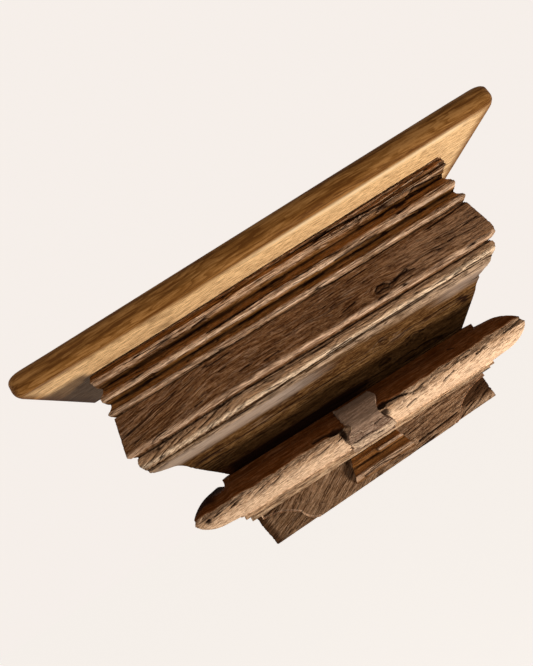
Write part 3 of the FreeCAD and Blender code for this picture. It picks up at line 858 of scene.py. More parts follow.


# How each wood differs from old wood, then its linear colours: dark, middle and light in the grain, worn
# pale, deep in hollows and stains and as painted shade and, where it isn't the common one, bleached, which on
# the board is a painted highlight
# The board's last colour is the cream of a painted highlight
BOARD_COLOURS = ((0.12, 0.042, 0.007), (0.21, 0.086, 0.018), (0.36, 0.17, 0.05), (0.98, 0.64, 0.32),
                 (0.06, 0.020, 0.002), (1.0, 0.86, 0.60))
WOODS = {
    "board_wood": ({"pith": (-70.0, 10.0), "ring": 4.0, "ring_share": 0.3, "roughness": 0.55, "bump": 0.08,
                    "gloss": 0.05, "fine": 0.3, "broad": 0.65}, *BOARD_COLOURS),
    # The crown's deep colour, a warm brown, is painted bounce light on its flanks, which lie in shade
    "crown_wood": ({"pith": (-50.0, -30.0)}, (0.10, 0.038, 0.012), (0.25, 0.12, 0.048), (0.42, 0.24, 0.13),
                   (0.94, 0.66, 0.45), (0.19, 0.078, 0.018)),
    "fascia_wood": ({"pith": (-60.0, -120.0)}, (0.075, 0.028, 0.009), (0.185, 0.084, 0.034),
                    (0.32, 0.17, 0.082), (0.90, 0.61, 0.41), (0.12, 0.048, 0.013)),
    "bead_wood": ({"pith": (-40.0, -60.0)}, (0.14, 0.062, 0.026), (0.36, 0.20, 0.10), (0.56, 0.36, 0.21),
                  (1.0, 0.75, 0.52), (0.27, 0.14, 0.065)),
    # The cove's near-black deep colour paints the half round's shadow on its foot
    "cove_wood": ({"pith": (-20.0, -90.0), "bump": 0.5}, (0.045, 0.018, 0.005), (0.115, 0.054, 0.017),
                  (0.22, 0.115, 0.042), (0.62, 0.43, 0.29), (0.045, 0.011, 0.003), (0.40, 0.31, 0.25)),
    # The half round's near-black deep colour paints the shade on its upper flank
    "torus_wood": ({"pith": (-50.0, -170.0), "bump": 0.8}, (0.14, 0.058, 0.022), (0.34, 0.18, 0.085),
                   (0.58, 0.36, 0.21), (0.90, 0.63, 0.42), (0.072, 0.018, 0.002)),
    "slat_wood": ({}, (0.12, 0.055, 0.022), (0.30, 0.17, 0.09), (0.50, 0.32, 0.18), (0.80, 0.57, 0.37),
                  (0.06, 0.025, 0.009)),
    "base_wood": ({"pith": (-30.0, -300.0)}, (0.08, 0.038, 0.017), (0.20, 0.11, 0.056), (0.34, 0.21, 0.125),
                  (0.56, 0.38, 0.25), (0.05, 0.022, 0.009)),
    "apron_wood": ({"pith": (-10.0, -330.0), "bump": 0.8}, (0.09, 0.043, 0.020), (0.24, 0.135, 0.072),
                   (0.38, 0.24, 0.145), (0.76, 0.53, 0.36), (0.05, 0.022, 0.009)),
    "strap_wood": ({"pith": (-90.0, -230.0), "bump": 0.5}, (0.13, 0.070, 0.042), (0.23, 0.145, 0.098),
                   (0.34, 0.23, 0.165), (0.70, 0.50, 0.34), (0.24, 0.155, 0.105)),
    "tongue_wood": ({"pith": (-20.0, -280.0)}, (0.08, 0.034, 0.012), (0.20, 0.095, 0.038), (0.36, 0.20, 0.11),
                    (0.78, 0.54, 0.37), (0.19, 0.075, 0.018)),
    "plug_wood": ({"on_cad": True, "roughness": 0.55, "bump": 0.08}, *BOARD_COLOURS),
    "dowel_wood": ({"on_cad": True, "roughness": 0.6, "bump": 0.08}, (0.42, 0.26, 0.12), (0.55, 0.37, 0.19),
                   (0.66, 0.48, 0.28), (0.7, 0.5, 0.3), (0.3, 0.2, 0.1)),
}
STEELS = {"plate_steel": (0.56, 0.56, 0.55), "screw_steel": (0.50, 0.49, 0.47)}
MATERIALS = {name: wood(name, *values) for name, values in WOODS.items()}
MATERIALS |= {name: dull_steel(name, colour) for name, colour in STEELS.items()}
SLOT_OF_NODE = {part["node"]: part["material_slot"] for part in frame["record"]["subparts"]}


def finish_piece(piece, node):
    """Smooth the piece, give it the material of the node it stands for, and let it ride on the body."""
    piece.data.polygons.foreach_set("use_smooth", [True] * len(piece.data.polygons))
    piece.data.set_sharp_from_angle(angle=SHARP_ANGLE)
    piece.data.materials.clear()
    piece.data.materials.append(MATERIALS[SLOT_OF_NODE[node]])
    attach(piece, "root")
    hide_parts(node)


# Courses without a moulding
PLAIN_COURSES = ("upper_slat", "lower_slat", "base_block")

# Worn corners: levels, then the radii of the left and the right corner there
WORN_CORNERS = {
    "fascia_block": ((-80.5, -77.0, -72.0, -64.0), (3, 3, 3, 3), (22, 12, 6, 3)),
    "bead_block": ((-98.5, -90.0, -82.0), (5, 3, 3), (26, 14, 6)),
    "cove_block": ((-112.0, -106.0, -98.5), (3, 3, 5), (3, 34, 28)),
    "torus_block": ((-205, -196, -187, -181, -174, -165, -157),
                    (12, 12, 5, 3, 10, 22, 26), (12, 10, 4, 3, 6, 14, 14)),
}

# Wear of each timber, with painted shade and light in some places: rows of values for the methods of Skin, in
# mm and shares. Zones are plateaus along x, y and z, and points are x and z on the front
EVERYWHERE = {}
CROWN_LOOK = {
    "stretch": [(5.0, {"x": beyond(200, 245), "z": beyond(14, 20)})],
    "wander": [(2.5, (110, 60, 30))],
    "fibres": [(0.7, FIBRE_SIZE, EVERYWHERE)],
    "wear_edges": [(0.9, 1.0)],
    "blunt_ends": [(1.6, 236, 246)],
    "ledges": [
        (0.8, (70, 6, 5), 3, EVERYWHERE),
        (2.2, (90, 9, 7), 3, {"x": beyond(20, 110), "z": beyond(9, 15)}),
    ],
    "mark": [
        ("deep_and_shade", 0.95, {"x": up_to(20, 90), "z": (21.5, 23.0, 26.0, 27.5)}),
        ("dark", 0.65, {"x": (-240, -225, -100, 40), "z": (6.0, 7.5, 10.0, 12.0)}),
        ("pale", 0.9, {"x": (-300, -230, 70, 110), "z": (-9.0, -8.0, -6.5, -5.0)}),
        ("pale", 0.9, {"x": beyond(120, 160), "z": (-9.0, -8.0, -6.5, -5.0)}),
    ],
    "streak": [
        ("dark", 0.95, 1.3, (72, -8.5), (100, -7.5), (130, -8.5)),
        ("dark", 0.85, 0.8, (130, -9), (160, -10), (196, -10.5)),
        ("dark", 0.9, 1.0, (-238, 10.5), (-200, 11.5), (-190, 9)),
        ("dark", 0.9, 2.0, (-200, 9), (-160, 10.5), (-112, 10), (-60, 8)),
        ("dark", 0.8, 0.8, (-100, -0.5), (-60, 1.0), (-30, 0)),
        ("dark", 0.8, 0.8, (-20, 2), (10, -1), (40, -0.5)),
    ],
    "crack": [
        (0.8, 1.6, (0, 27), (50, 27.5), (108, 26), (140, 23.5)),
        (1.2, 2.2, (105, 24.5), (150, 22), (200, 23), (250, 24)),
        (0.8, 1.4, (60, 20.5), (100, 18.5), (130, 17.5), (165, 18.5)),
        (0.7, 1.2, (150, 18), (200, 18.5), (248, 19)), (0.6, 1.0, (185, 11.5), (200, 15.5), (248, 12)),
        (0.7, 1.2, (-200, 18), (-150, 17.5), (-120, 17)), (0.7, 1.2, (-105, 16.5), (-90, 17)),
        (0.7, 1.4, (205, -1), (235, 1.5), (250, 2.5)), (1.0, 1.6, (170, -10), (183, -11)),
    ],
    "checks": [(1.0, (120, 9, 6), EVERYWHERE)],
}
FASCIA_LOOK = {
    "wander": [(4.0, (80, 60, 26)), (1.2, (24, 30, 12))],
    "lean": [(0.16, -120, {"x": up_to(-190, -90)})],
    "knot": [(98, -66, 11, 7, 0.5)],
    "fibres": [(0.3, FIBRE_SIZE, EVERYWHERE)],
    "ledges": [(0.3, (46, 5, 5), 2, EVERYWHERE)],
    "wear_edges": [(0.9, 1.0)],
    "erode": [(1.8, (45, 9, 5), {"z": (-84, -82, -76, -71)})],
    "mark": [
        ("dark", 0.22, {"x": (-20, 40, 60, 90), "z": (-75, -70, -45, -35)}),
        ("pale", 0.12, {"x": beyond(90, 160), "z": (-76, -70, -40, -30)}),
    ],
    "streak": [
        ("dark", 0.6, 3.4, (92, -69), (98, -66), (106, -68)),
        ("dark", 0.6, 2.0, (112, -66), (124, -64), (136, -64.5)),
    ],
    "crack": [
        (1.4, 2.2, (90, -64), (95, -60.5), (103, -61.5), (108, -65.5), (117, -65)),
        (1.9, 2.4, (116, -64.5), (124, -63), (133, -63.5)),
        (0.8, 1.2, (124, -62.5), (133, -60), (135, -64), (142, -65.7)),
        (1.5, 1.4, (90, -67.5), (98, -66.5), (105, -68)), (1.3, 1.6, (87, -74), (93, -73.6), (100, -74)),
        (0.6, 1.0, (110, -71.5), (135, -71.5)),
        (0.9, 1.6, (-215, -78.5), (-212, -74.5), (-205, -72.5), (-193, -72)),
        (1.6, 2.2, (202, -79), (209, -77.5), (215, -77)),
        (0.9, 1.6, (183, -34), (215, -32.5), (243, -29.5)),
        (0.8, 1.3, (-111, -46.5), (-100, -46)), (0.8, 1.3, (-90, -59.5), (-77, -59)),
        (0.8, 1.3, (-60, -64.5), (-40, -63.5)), (0.8, 1.3, (-153, -67), (-143, -66)),
        (0.8, 1.3, (28, -48), (33, -48)), (0.8, 1.3, (36, -52.5), (43, -51.5)),
        (1.0, 1.6, (45, -64.8), (54, -63.8), (63, -62.3)), (0.8, 1.3, (218, -52.8), (237, -52)),
        (0.8, 1.3, (192, -59.3), (203, -58.8)), (0.7, 1.2, (-120, -35), (-90, -34)),
        (0.7, 1.2, (70, -36), (96, -35.5)),
    ],
    "checks": [(0.8, (70, 8, 4), EVERYWHERE)],
}
BEAD_LOOK = {
    "wander": [(2.5, (70, 60, 26))],
    "lean": [(0.3, -110, {"x": up_to(-150, -70)})],
    "fibres": [(0.6, FIBRE_SIZE, EVERYWHERE)],
    "wear_edges": [(0.9, 0.7)],
    "ledges": [(0.9, (30, 5, 5), 3, EVERYWHERE)],
    "mark": [
        ("deep_and_shade", 0.75, {"z": (-93.0, -90.0, -84.0, -80.0)}),
        ("pale", 1.0, {"z": (-98.0, -96.5, -94.0, -92.0)}),
        ("pale", 0.55, {"x": beyond(20, 90), "z": (-100, -97, -86, -82)}),
    ],
    "crack": [
        (0.9, 1.2, (-250, -81.2), (-100, -79.4), (0, -81.2), (100, -82.1), (250, -83.6)),
        (0.5, 0.9, (-250, -99.8), (-100, -98.4), (0, -97.0), (100, -97.0), (250, -99.2)),
        (1.0, 1.4, (-162, -90), (-145, -86), (-133, -81.5), (-120, -80)),
        (0.7, 1.0, (-195, -91), (-180, -88), (-165, -86)), (0.8, 1.2, (195, -96.5), (212, -97), (228, -97)),
        (0.8, 1.2, (5, -96), (20, -95.5), (38, -95)),
    ],
    "checks": [(0.8, (90, 8, 4.5), EVERYWHERE)],
}
COVE_LOOK = {
    "stretch": [(4.0, {"x": up_to(-185, -140), "z": up_to(-112, -104)})],
    "wander": [(3.0, (90, 60, 26))],
    "knot": [(73, -115, 11, 5, 0.8), (65, -137, 13, 5, 0.9), (112, -130, 9, 6, 0.7)],
    "fibres": [(0.35, FIBRE_SIZE, {"z": up_to(-108, -104)}), (0.6, FIBRE_SIZE, {"z": beyond(-108, -104)})],
    "ledges": [(0.9, (34, 5, 4), 2, {"z": beyond(-108, -104)})],
    "wear_edges": [(0.9, 0.9)],
    "mark": [
        ("bleach_and_highlight", 0.95, {"x": (-260, -210, -60, 20), "z": (-114, -109, -106, -103)}),
        ("pale", 0.35, {"x": (-260, -210, -110, -40), "z": (-114, -109, -106, -103)}),
        ("bleach_and_highlight", 0.6, {"x": beyond(130, 180), "z": (-116, -110, -106, -103)}),
        ("pale", 0.7, {"x": beyond(60, 130), "z": (-108, -105, -98, -97)}),
        # Painted shadow of the half round along the cove's foot, on the left
        ("deep_and_shade", 0.9, {"x": up_to(0, 50), "z": up_to(-150, -136)}),
        ("dark", 0.95, {"x": (-175, -160, 10, 50), "z": up_to(-145, -140)}),
    ],
    "streak": [
        ("dark", 0.9, 1.6, (57, -138), (65, -139), (73, -137)),
        ("dark", 0.5, 0.9, (52, -135), (65, -131.5), (77, -134)),
        ("dark", 0.8, 1.2, (67, -113), (72, -114), (78, -116)),
        ("dark", 0.8, 0.9, (98, -134), (112, -130), (136, -127.5)),
        ("dark", 0.7, 0.8, (98, -126.5), (112, -130), (116, -133)),
        ("dark", 0.5, 0.9, (-90, -121), (-40, -122), (10, -121)),
    ],
    "clear": [("pale", 0.8, {"z": up_to(-125, -118)}), ("deep_and_shade", 0.85, {"z": (-132, -127, -110, -106)})],
    "checks": [(0.9, (110, 10, 7), EVERYWHERE)],
}
TORUS_SHAPE = {"stretch": [(-4.0, {"x": up_to(-216, -120)})]}
TORUS_LOOK = {
    # Painted shade, near black, on the back of the left return
    "mark": [("dark", 1.0, {"x": up_to(-197, -183), "y": beyond(-98, -92), "z": beyond(-181, -170)})],
    "cut": [(4.5, {"x": (-200, -188, -178, -168), "z": beyond(-176, -168)})],
    "pit": [
        (27, -176, 8, 4.5, 4.0), (26, -186, 5, 6, 3.0), (-27, -183, 4.5, 13, 4.0), (-36, -173, 9, 3.5, 2.5),
        (-205, -184, 4, 3, 1.5),
    ],
    "crack": [
        (1.5, 3.0, (34, -175), (50, -177), (65, -182), (78, -183)),
        (1.5, 3.0, (-62, -171), (-48, -171), (-34, -174)), (0.9, 1.6, (52, -195), (66, -192)),
        (0.9, 1.6, (104, -192), (120, -188)), (0.9, 1.6, (-127, -187.5), (-113, -184)),
        (0.9, 1.6, (152, -186), (168, -182)), (0.9, 1.6, (-177, -184), (-163, -180)),
        (0.8, 1.2, (130, -163), (136, -165)),
    ],
    "clear": [("dark", 0.9, {"x": beyond(194, 202), "z": (-190, -187, -176, -173)})],
}

# The front of the half round is worn back to pale fibre below a wavy level, less and brighter near its foot
TORUS_FRONT_LEVEL = -174.5
TORUS_FRONT_WAVES = ((3.0, (36, 300, 300)), (2.0, (9, 300, 300)))
TORUS_FRONT_SOFT = (-0.6, 0.8)
TORUS_FRONT_LEAN = 0.2
TORUS_WANDER = (2.0, (60, 60, 26))
TORUS_BACK_FIBRES = (0.3, FIBRE_SIZE)
TORUS_FRONT_FIBRES = (0.8, (30, 3.0, 3.0))
TORUS_FRONT_LEDGES = (1.0, (40, 6, 6), 2)
TORUS_FRONT_CHECKS = (1.0, (60, 8, 4))
TORUS_FRONT_CUT = 1.2
TORUS_FRONT_PALE = 0.3
TORUS_CALM = 0.75
TORUS_CALM_ZONE = {"z": up_to(-194, -184)}
TORUS_BRIGHT = 0.6
TORUS_BRIGHT_ZONE = {"z": up_to(-194, -182)}

SLAT_LOOK = {
    "fibres": [(0.6, FIBRE_SIZE, EVERYWHERE)],
    "erode": [(3.5, (45, 6, 90), EVERYWHERE)],
    "mark": [("pale", 0.75, EVERYWHERE)],
    "checks": [(1.2, (60, 8, 3), EVERYWHERE)],
}
BASE_LOOK = {
    "stretch": [(-7.0, {"x": up_to(-160, -120), "z": beyond(-266, -212)})],
    "lean": [(0.3, 0, EVERYWHERE)],
    "fibres": [(0.7, FIBRE_SIZE, EVERYWHERE)],
    "ledges": [(0.7, (30, 5, 4), 2, EVERYWHERE)],
    "mark": [
        # Painted shade on the left end strip, which lies back behind the apron
        ("deep_and_shade", 1.0, {"x": up_to(-158, -152)}),
        # Painted shade on the base beyond the apron's right edge, paler at its foot
        ("deep_and_shade", 1.0, {"x": beyond(104, 112), "z": beyond(-238, -232)}),
        ("dark", 0.4, {"x": beyond(104, 112), "z": beyond(-236, -230)}),
        ("pale", 0.6, {"x": beyond(112, 125), "z": (-250, -249, -241, -236)}),
    ],
    "checks": [(1.3, (60, 8, 4), EVERYWHERE)],
}
APRON_LOOK = {
    "lean": [(0.4, 0, {"x": up_to(-50, 10)}), (0.07, 0, EVERYWHERE)],
    "wander": [(2.0, (50, 60, 26))],
    "fibres": [(0.45, (20, 2.2, 2.2), EVERYWHERE)],
    "mark": [
        # Painted shadow of the tongue on its left, and lighter painted shade on its right
        ("dark", 0.6, {"x": (-53, -45, -38, -36), "z": beyond(-240, -228)}),
        ("dark", 0.35, {"x": (36, 37, 44, 54), "z": beyond(-230, -222)}),
    ],
    "ledges": [(0.4, (26, 5, 4), 2, EVERYWHERE)],
    "crack": [
        (1.2, 1.6, (-160, -217), (-150, -215.5), (-130, -212.5), (-108, -211)),
        (0.9, 1.4, (50, -240), (80, -238), (108, -235.5)), (0.9, 1.4, (88, -213), (100, -211.5)),
    ],
    "checks": [(1.2, (50, 8, 4), EVERYWHERE)],
}
STRAP_LOOK = {
    "lean": [(0.08, 0, EVERYWHERE)],
    "fibres": [
        (0.25, FIBRE_SIZE, {"z": beyond(-187, -182)}), (0.9, (22, 2.2, 2.2), {"z": up_to(-187, -182)}),
    ],
    "ledges": [(1.0, (24, 4, 3.5), 3, {"z": up_to(-187, -182)})],
    "mark": [
        ("deep_and_shade", 0.8, {"z": beyond(-188, -184)}), ("pale", 1.0, {"z": (-208, -206, -200, -197)}),
        ("dark", 0.4, {"z": beyond(-164, -160)}),
    ],
    "crack": [
        (0.8, 1.5, (-24, -199), (-14, -197), (0, -196.5), (9, -198.5)),
        (0.7, 1.2, (8, -190), (17, -188.5)),
    ],
}
TONGUE_LOOK = {
    "fibres": [(0.35, FIBRE_SIZE, EVERYWHERE)],
    "wear_edges": [(0.9, 1.0)],
    "mark": [("deep_and_shade", 0.6, {"z": (-234, -232, -226, -224)}), ("deep_and_shade", 0.9, {"z": beyond(-218.5, -217)})],
    "clear": [("pale", 0.9, {"z": beyond(-218.5, -217)})],
    "crack": [
        (0.9, 1.2, (-30, -240), (-5, -238), (20, -241)), (0.6, 1.0, (-20, -235.5), (0, -234), (25, -236)),
    ],
}
TONGUE_BREAK = {"x": up_to(-3, 3), "z": (-227, -225, -220, -218)}
TONGUE_BREAK_LOOK = {
    "mark": [("deep_and_shade", 1.0, TONGUE_BREAK)],
    "cut": [(2.4, TONGUE_BREAK)],
    "clear": [("pale", 1.0, TONGUE_BREAK)],
}
# Painted shadow at the left end of the underside, where the crown's shadow falls
BOARD_LEFT_SHADOW = {"x": up_to(-246, -236), "y": beyond(-150, -130), "z": up_to(34, 36)}
BOARD_LOOK = {
    "wander": [(7.0, (170, 300, 40)), (1.5, (60, 80, 20))],
    "lean": [(-0.05, 60, {"x": beyond(60, 150)})],
    "mark": [
        # Darker along the top of the front: partly its darker finish, partly painted shade where it faces
        # away from the lamp
        ("deep_and_shade", 0.6, {"y": up_to(-178, -160), "z": beyond(44, 56)}),
        # Painted shadow of the crown on the left end of the underside
        ("deep_and_shade", 0.8, BOARD_LEFT_SHADOW), ("dark", 0.4, BOARD_LEFT_SHADOW),
    ],
}


# Courses
def course_rows(node):
    return resampled(mitre_outline(node), ROW_STEP)


def worn_corners(node, rows):
    """Radii of the left and the right corner at each row."""
    if node not in WORN_CORNERS:
        return SMALLEST_CORNER, SMALLEST_CORNER
    levels, left, right = WORN_CORNERS[node]
    return np.interp(rows[:, 1], levels, left), np.interp(rows[:, 1], levels, right)


def course_skin(node):
    """The outer face of a course, plain or moulded."""
    if node in PLAIN_COURSES:
        low, high = node_box(node)
        rows = resampled(np.array([(-low[1], high[2]), (-low[1], low[2])]), ROW_STEP)
        proud = []
    else:
        rows = course_rows(node)
        proud = exposures(rows)
    return Skin(wrap_grid(rows, CORE_HALF, worn_corners(node, rows), COLUMN_STEP), SEEDS[node], *proud)


def finish_course(name, node, skin, cutters=()):
    piece = wrap_piece(name, skin)
    low, high = node_box(node)
    carve(piece, plate_cutters(low[2], high[2]) + list(cutters))
    finish_piece(piece, node)


def build_course(name, node, look, cutters=()):
    skin = course_skin(node)
    skin.weather(look)
    finish_course(name, node, skin, cutters)


def pin_hole_cutters():
    cutters = []
    for mount in frame["record"]["mounts"]:
        if mount["kind"] == "bore":
            middle = np.array(mount["pos_m"]) / MM
            half = mount["dims"]["length_mm"] / 2
            start = middle - (0, half, 0)
            end = middle + (0, half + RECESS_OVERRUN, 0)
            cutters.append(rod_piece(start, end, mount["dims"]["r_mm"], (0, 0, 1), (1, 0, 0)))
    return cutters


def build_torus():
    """The half round: smooth and dark above, worn back to pale splintered fibre below."""
    skin = course_skin("torus_block")
    skin.weather(TORUS_SHAPE)
    edge = TORUS_FRONT_LEVEL
    for height, size in TORUS_FRONT_WAVES:
        edge = edge + height * skin.rag(size)
    lower = ease(edge - skin.z, *TORUS_FRONT_SOFT)
    skin.lean(TORUS_FRONT_LEAN, 0, lower)
    skin.wander(*TORUS_WANDER)
    skin.fibres(*TORUS_BACK_FIBRES, 1 - lower)
    rough = lower * (1 - TORUS_CALM * skin.within(TORUS_CALM_ZONE))
    skin.fibres(*TORUS_FRONT_FIBRES, rough)
    skin.ledges(*TORUS_FRONT_LEDGES, rough)
    skin.cut(TORUS_FRONT_CUT, lower)
    # Dark above: the smooth wood, deepened as painted shade on the upper flank, which faces away from the
    # lamp
    skin.mark("deep_and_shade", 1 - lower)
    skin.add("pale", TORUS_FRONT_PALE * lower + TORUS_BRIGHT * skin.within(TORUS_BRIGHT_ZONE))
    skin.weather(TORUS_LOOK)
    skin.checks(*TORUS_FRONT_CHECKS, rough)
    finish_course("worn_torus", "torus_block", skin)


# Apron. Its worn edge is pale up to the first distance from the outline, and not from the second
APRON_EDGE = (1.1, 2.6)
APRON_EDGE_CUT = 1.5


def apron_half_width(levels):
    low, high = node_box("base_apron")
    places = node_places("base_apron")
    right_front = (np.abs(places[:, 1] - low[1]) < TOUCH) & (places[:, 0] > high[0] / 2)
    points = chained(places[right_front][:, ::2])
    return np.interp(-levels, -points[:, 1], points[:, 0])


def board_grid(levels, lefts, rights, depths, step):
    """Rows at the levels, each from its left to its right end, at one depth or at the depth of each row."""
    count = max(int((rights.max() - lefts.min()) / step), 2)
    x = lefts[:, None] + (rights - lefts)[:, None] * np.linspace(0, 1, count)[None, :]
    y, z = (np.broadcast_to(np.reshape(values, (-1, 1)), x.shape) for values in (depths, levels))
    return np.stack([x, y, z], axis=2)


def build_apron():
    low, high = node_box("base_apron")
    levels = np.linspace(high[2], low[2], int((high[2] - low[2]) / ROW_STEP) + 1)
    half = apron_half_width(levels)
    skin = Skin(board_grid(levels, -half, half, low[1], APRON_STEP), SEEDS["base_apron"])
    back = board_grid(levels, -half, half, high[1] + BED_DEPTH, APRON_STEP)
    outline = np.column_stack([half, half, levels])
    right_edge = twisted(outline)[:, ::2]
    left_edge = twisted(outline * (-1, 1, 1))[:, ::2]
    from_edge = np.minimum(skin.from_line(right_edge), skin.from_line(left_edge))
    skin.weather(APRON_LOOK)
    at_edge = 1 - ease(from_edge, *APRON_EDGE)
    skin.mark("pale", at_edge)
    skin.clear("dark", 1.0, at_edge)
    skin.cut(APRON_EDGE_CUT, at_edge)
    finish_piece(shell_piece("worn_apron", skin, back), "base_apron")


# Strap. Its left and right edge at levels from head to foot, how ragged the left one is, and how deep the
# sides are worn, from the first to the second distance from its middle
STRAP_LEVELS = (-157.0, -160.0, -165.0, -169.0, -174.0, -178.0, -184.0, -191.0, -196.0, -204.0)
STRAP_LEFTS = (-21.0, -22.5, -22.0, -22.0, -18.0, -15.0, -21.0, -25.0, -26.0, -25.0)
STRAP_RIGHTS = (27.0, 29.0, 26.0, 23.0, 21.0, 20.0, 21.0, 24.0, 29.0, 33.0)
STRAP_RAG = 1.5
STRAP_RAG_SIZE = 3.0
STRAP_SIDE_WEAR = 1.8
STRAP_MIDDLE = 4.0
STRAP_WORN_FROM = (17.0, 27.0)


def build_strap():
    """The carved band lapped over the front of the half round."""
    strap_low, strap_high = node_box("centre_strap")
    torus_low, _ = node_box("torus_block")
    torus_rows = course_rows("torus_block")
    start = int(np.argmax(torus_rows[:, 1] < strap_high[2] - SMALL_ROW_STEP))
    bed = resampled(torus_rows[start:], SMALL_ROW_STEP)
    out = outward(bed)
    proud = bed + (torus_low[1] - strap_low[1]) * out
    sunk = bed - BED_DEPTH * out
    levels = proud[:, 1]
    ragged = noise(np.column_stack([levels] * 3), (STRAP_RAG_SIZE,) * 3, SEEDS["centre_strap"])
    lefts = np.interp(-levels, -np.array(STRAP_LEVELS), STRAP_LEFTS) + STRAP_RAG * ragged
    rights = np.interp(-levels, -np.array(STRAP_LEVELS), STRAP_RIGHTS)
    front = board_grid(levels, lefts, rights, -proud[:, 0], SMALL_COLUMN_STEP)
    back = board_grid(sunk[:, 1], lefts, rights, -sunk[:, 0], SMALL_COLUMN_STEP)
    skin = Skin(front, SEEDS["centre_strap"])
    skin.weather(STRAP_LOOK)
    skin.cut(STRAP_SIDE_WEAR * ease(np.abs(skin.x - STRAP_MIDDLE), *STRAP_WORN_FROM) ** 2)
    finish_piece(shell_piece("worn_strap", skin, back), "centre_strap")


# Tongue. The share of its half width from which a place belongs to its right side
TONGUE_SIDE_SHARE = 0.7


def tongue_outline(places, high):
    """Reach and level of the tongue's ridges, read on its slanting right side."""
    right = (places[:, 0] > high[0] * TONGUE_SIDE_SHARE) & (places[:, 1] < high[1] - TOUCH)
    return chained(np.column_stack([-places[:, 1], places[:, 2]])[right])


def build_tongue():
    """The ridged keystone, with the left of its upper ridge broken away."""
    low, high = node_box("centre_tongue")
    places = node_places("centre_tongue")
    head_half = places[np.abs(places[:, 2] - high[2]) < TOUCH, 0].max()
    rows = resampled(tongue_outline(places, high), ROW_STEP)
    levels = rows[:, 1]
    half = head_half + (high[0] - head_half) * (high[2] - levels) / (high[2] - low[2])
    front = board_grid(levels, -half, half, -rows[:, 0], SMALL_COLUMN_STEP)
    back = board_grid(levels, -half, half, high[1] + BED_DEPTH, SMALL_COLUMN_STEP)
    skin = Skin(front, SEEDS["centre_tongue"], *exposures(rows))
    skin.weather(TONGUE_LOOK)
    skin.weather(TONGUE_BREAK_LOOK)
    finish_piece(shell_piece("worn_tongue", skin, back), "centre_tongue")


# Board. Its round corners, and how far in from the front its grid reaches over the top and the underside
BOARD_CORNER = 14.0
BOARD_CAP_INSET = 80.0

# Its lower edge, by level and height, is worn back in waves
BOARD_LOW_EDGE = (35.0, 5.0)
BOARD_WAVE_SIZE = (70, 400, 400)
BOARD_WAVE_CUT = 1.6
BOARD_EDGE_CUT = 1.5

# Its underside is pale from below these levels and from this far in, with smudges and a painted highlight
# strip
BOARD_UNDER = (33.0, 38.0)
BOARD_PALE_WAVE = 1.5
BOARD_PALE_INSET = (5.0, 22.0)
BOARD_SMUDGE_SIZE = (140, 26, 9)
BOARD_SMUDGE = 0.7
BOARD_CLEAN = 1.05
BOARD_HIGHLIGHT_INSET = (18.0, 5.0)
BOARD_PAINTED_HIGHLIGHT = {"x": (-60, 60, 240, 285), "z": up_to(36, 38)}

# Dark stains on the left of its front
BOARD_STAIN_SIZE = (46, 20, 5)
BOARD_STAIN_SHARE = 0.5
BOARD_STAINS = {"x": (-180, -140, -60, -10), "z": up_to(40, 46)}


def board_outline():
    """Reach and level of the board's rounded front edge, with some of its top and underside."""
    low, high = node_box("shelf_board")
    places = node_places("shelf_board")
    at_corner = np.abs(places[:, 0] - high[0] + BOARD_CORNER) < TOUCH
    near_front = places[:, 1] < low[1] + BOARD_CORNER
    points = chained(np.column_stack([-places[:, 1], places[:, 2]])[at_corner & near_front])
    inner = -low[1] - BOARD_CAP_INSET
    return np.vstack([(inner, high[2]), points, (inner, low[2])])


def plug_hole_cutters():
    """A round cutter for each plug, found by where the plugs' places gather."""
    low, high = node_box("board_plugs")
    places = node_places("board_plugs")
    radius = (high[1] - low[1]) / 2
    middle_y = (high[1] + low[1]) / 2
    cutters = []
    while len(places):
        group = np.abs(places[:, 0] - places[0, 0]) < 2 * radius + TOUCH
        middle_x = (places[group, 0].max() + places[group, 0].min()) / 2
        start = np.array((middle_x, middle_y, low[2]))
        end = np.array((middle_x, middle_y, high[2] + RECESS_OVERRUN))
        cutters.append(rod_piece(start, end, radius + RECESS_CLEARANCE, (1, 0, 0), (0, 1, 0)))
        places = places[~group]
    return cutters


def build_board():
    low, high = node_box("shelf_board")
    rows = resampled(board_outline(), BOARD_ROW_STEP)
    grid = wrap_grid(rows, high[0] + low[1], (BOARD_CORNER, BOARD_CORNER), BOARD_COLUMN_STEP)
    skin = Skin(grid, SEEDS["shelf_board"])
    wave = skin.rag(BOARD_WAVE_SIZE)
    low_edge = bell(skin.places[:, 2], *BOARD_LOW_EDGE)
    skin.cut((BOARD_WAVE_CUT * (0.5 - 0.5 * wave) + BOARD_EDGE_CUT) * low_edge)
    x, y, z = skin.places.T
    inset = np.minimum(y - low[1], high[0] - np.abs(x)) + BOARD_PALE_WAVE * wave
    under = 1 - ease(z, *BOARD_UNDER)
    smudges = BOARD_CLEAN + BOARD_SMUDGE * skin.noise(BOARD_SMUDGE_SIZE)
    skin.mark("pale", under * ease(inset, *BOARD_PALE_INSET) * np.clip(smudges, 0, 1))
    # A painted highlight: a cream strip along the front of the underside
    skin.mark("bleach_and_highlight", under * bell(inset, *BOARD_HIGHLIGHT_INSET), BOARD_PAINTED_HIGHLIGHT)
    stains = ease(skin.noise(BOARD_STAIN_SIZE), 0.05, 0.4) * skin.within(BOARD_STAINS)
    skin.mark("deep_and_shade", BOARD_STAIN_SHARE, stains)
    skin.weather(BOARD_LOOK)
    piece = wrap_piece("satin_board", skin)
    carve(piece, plug_hole_cutters())
    finish_piece(piece, "shelf_board")


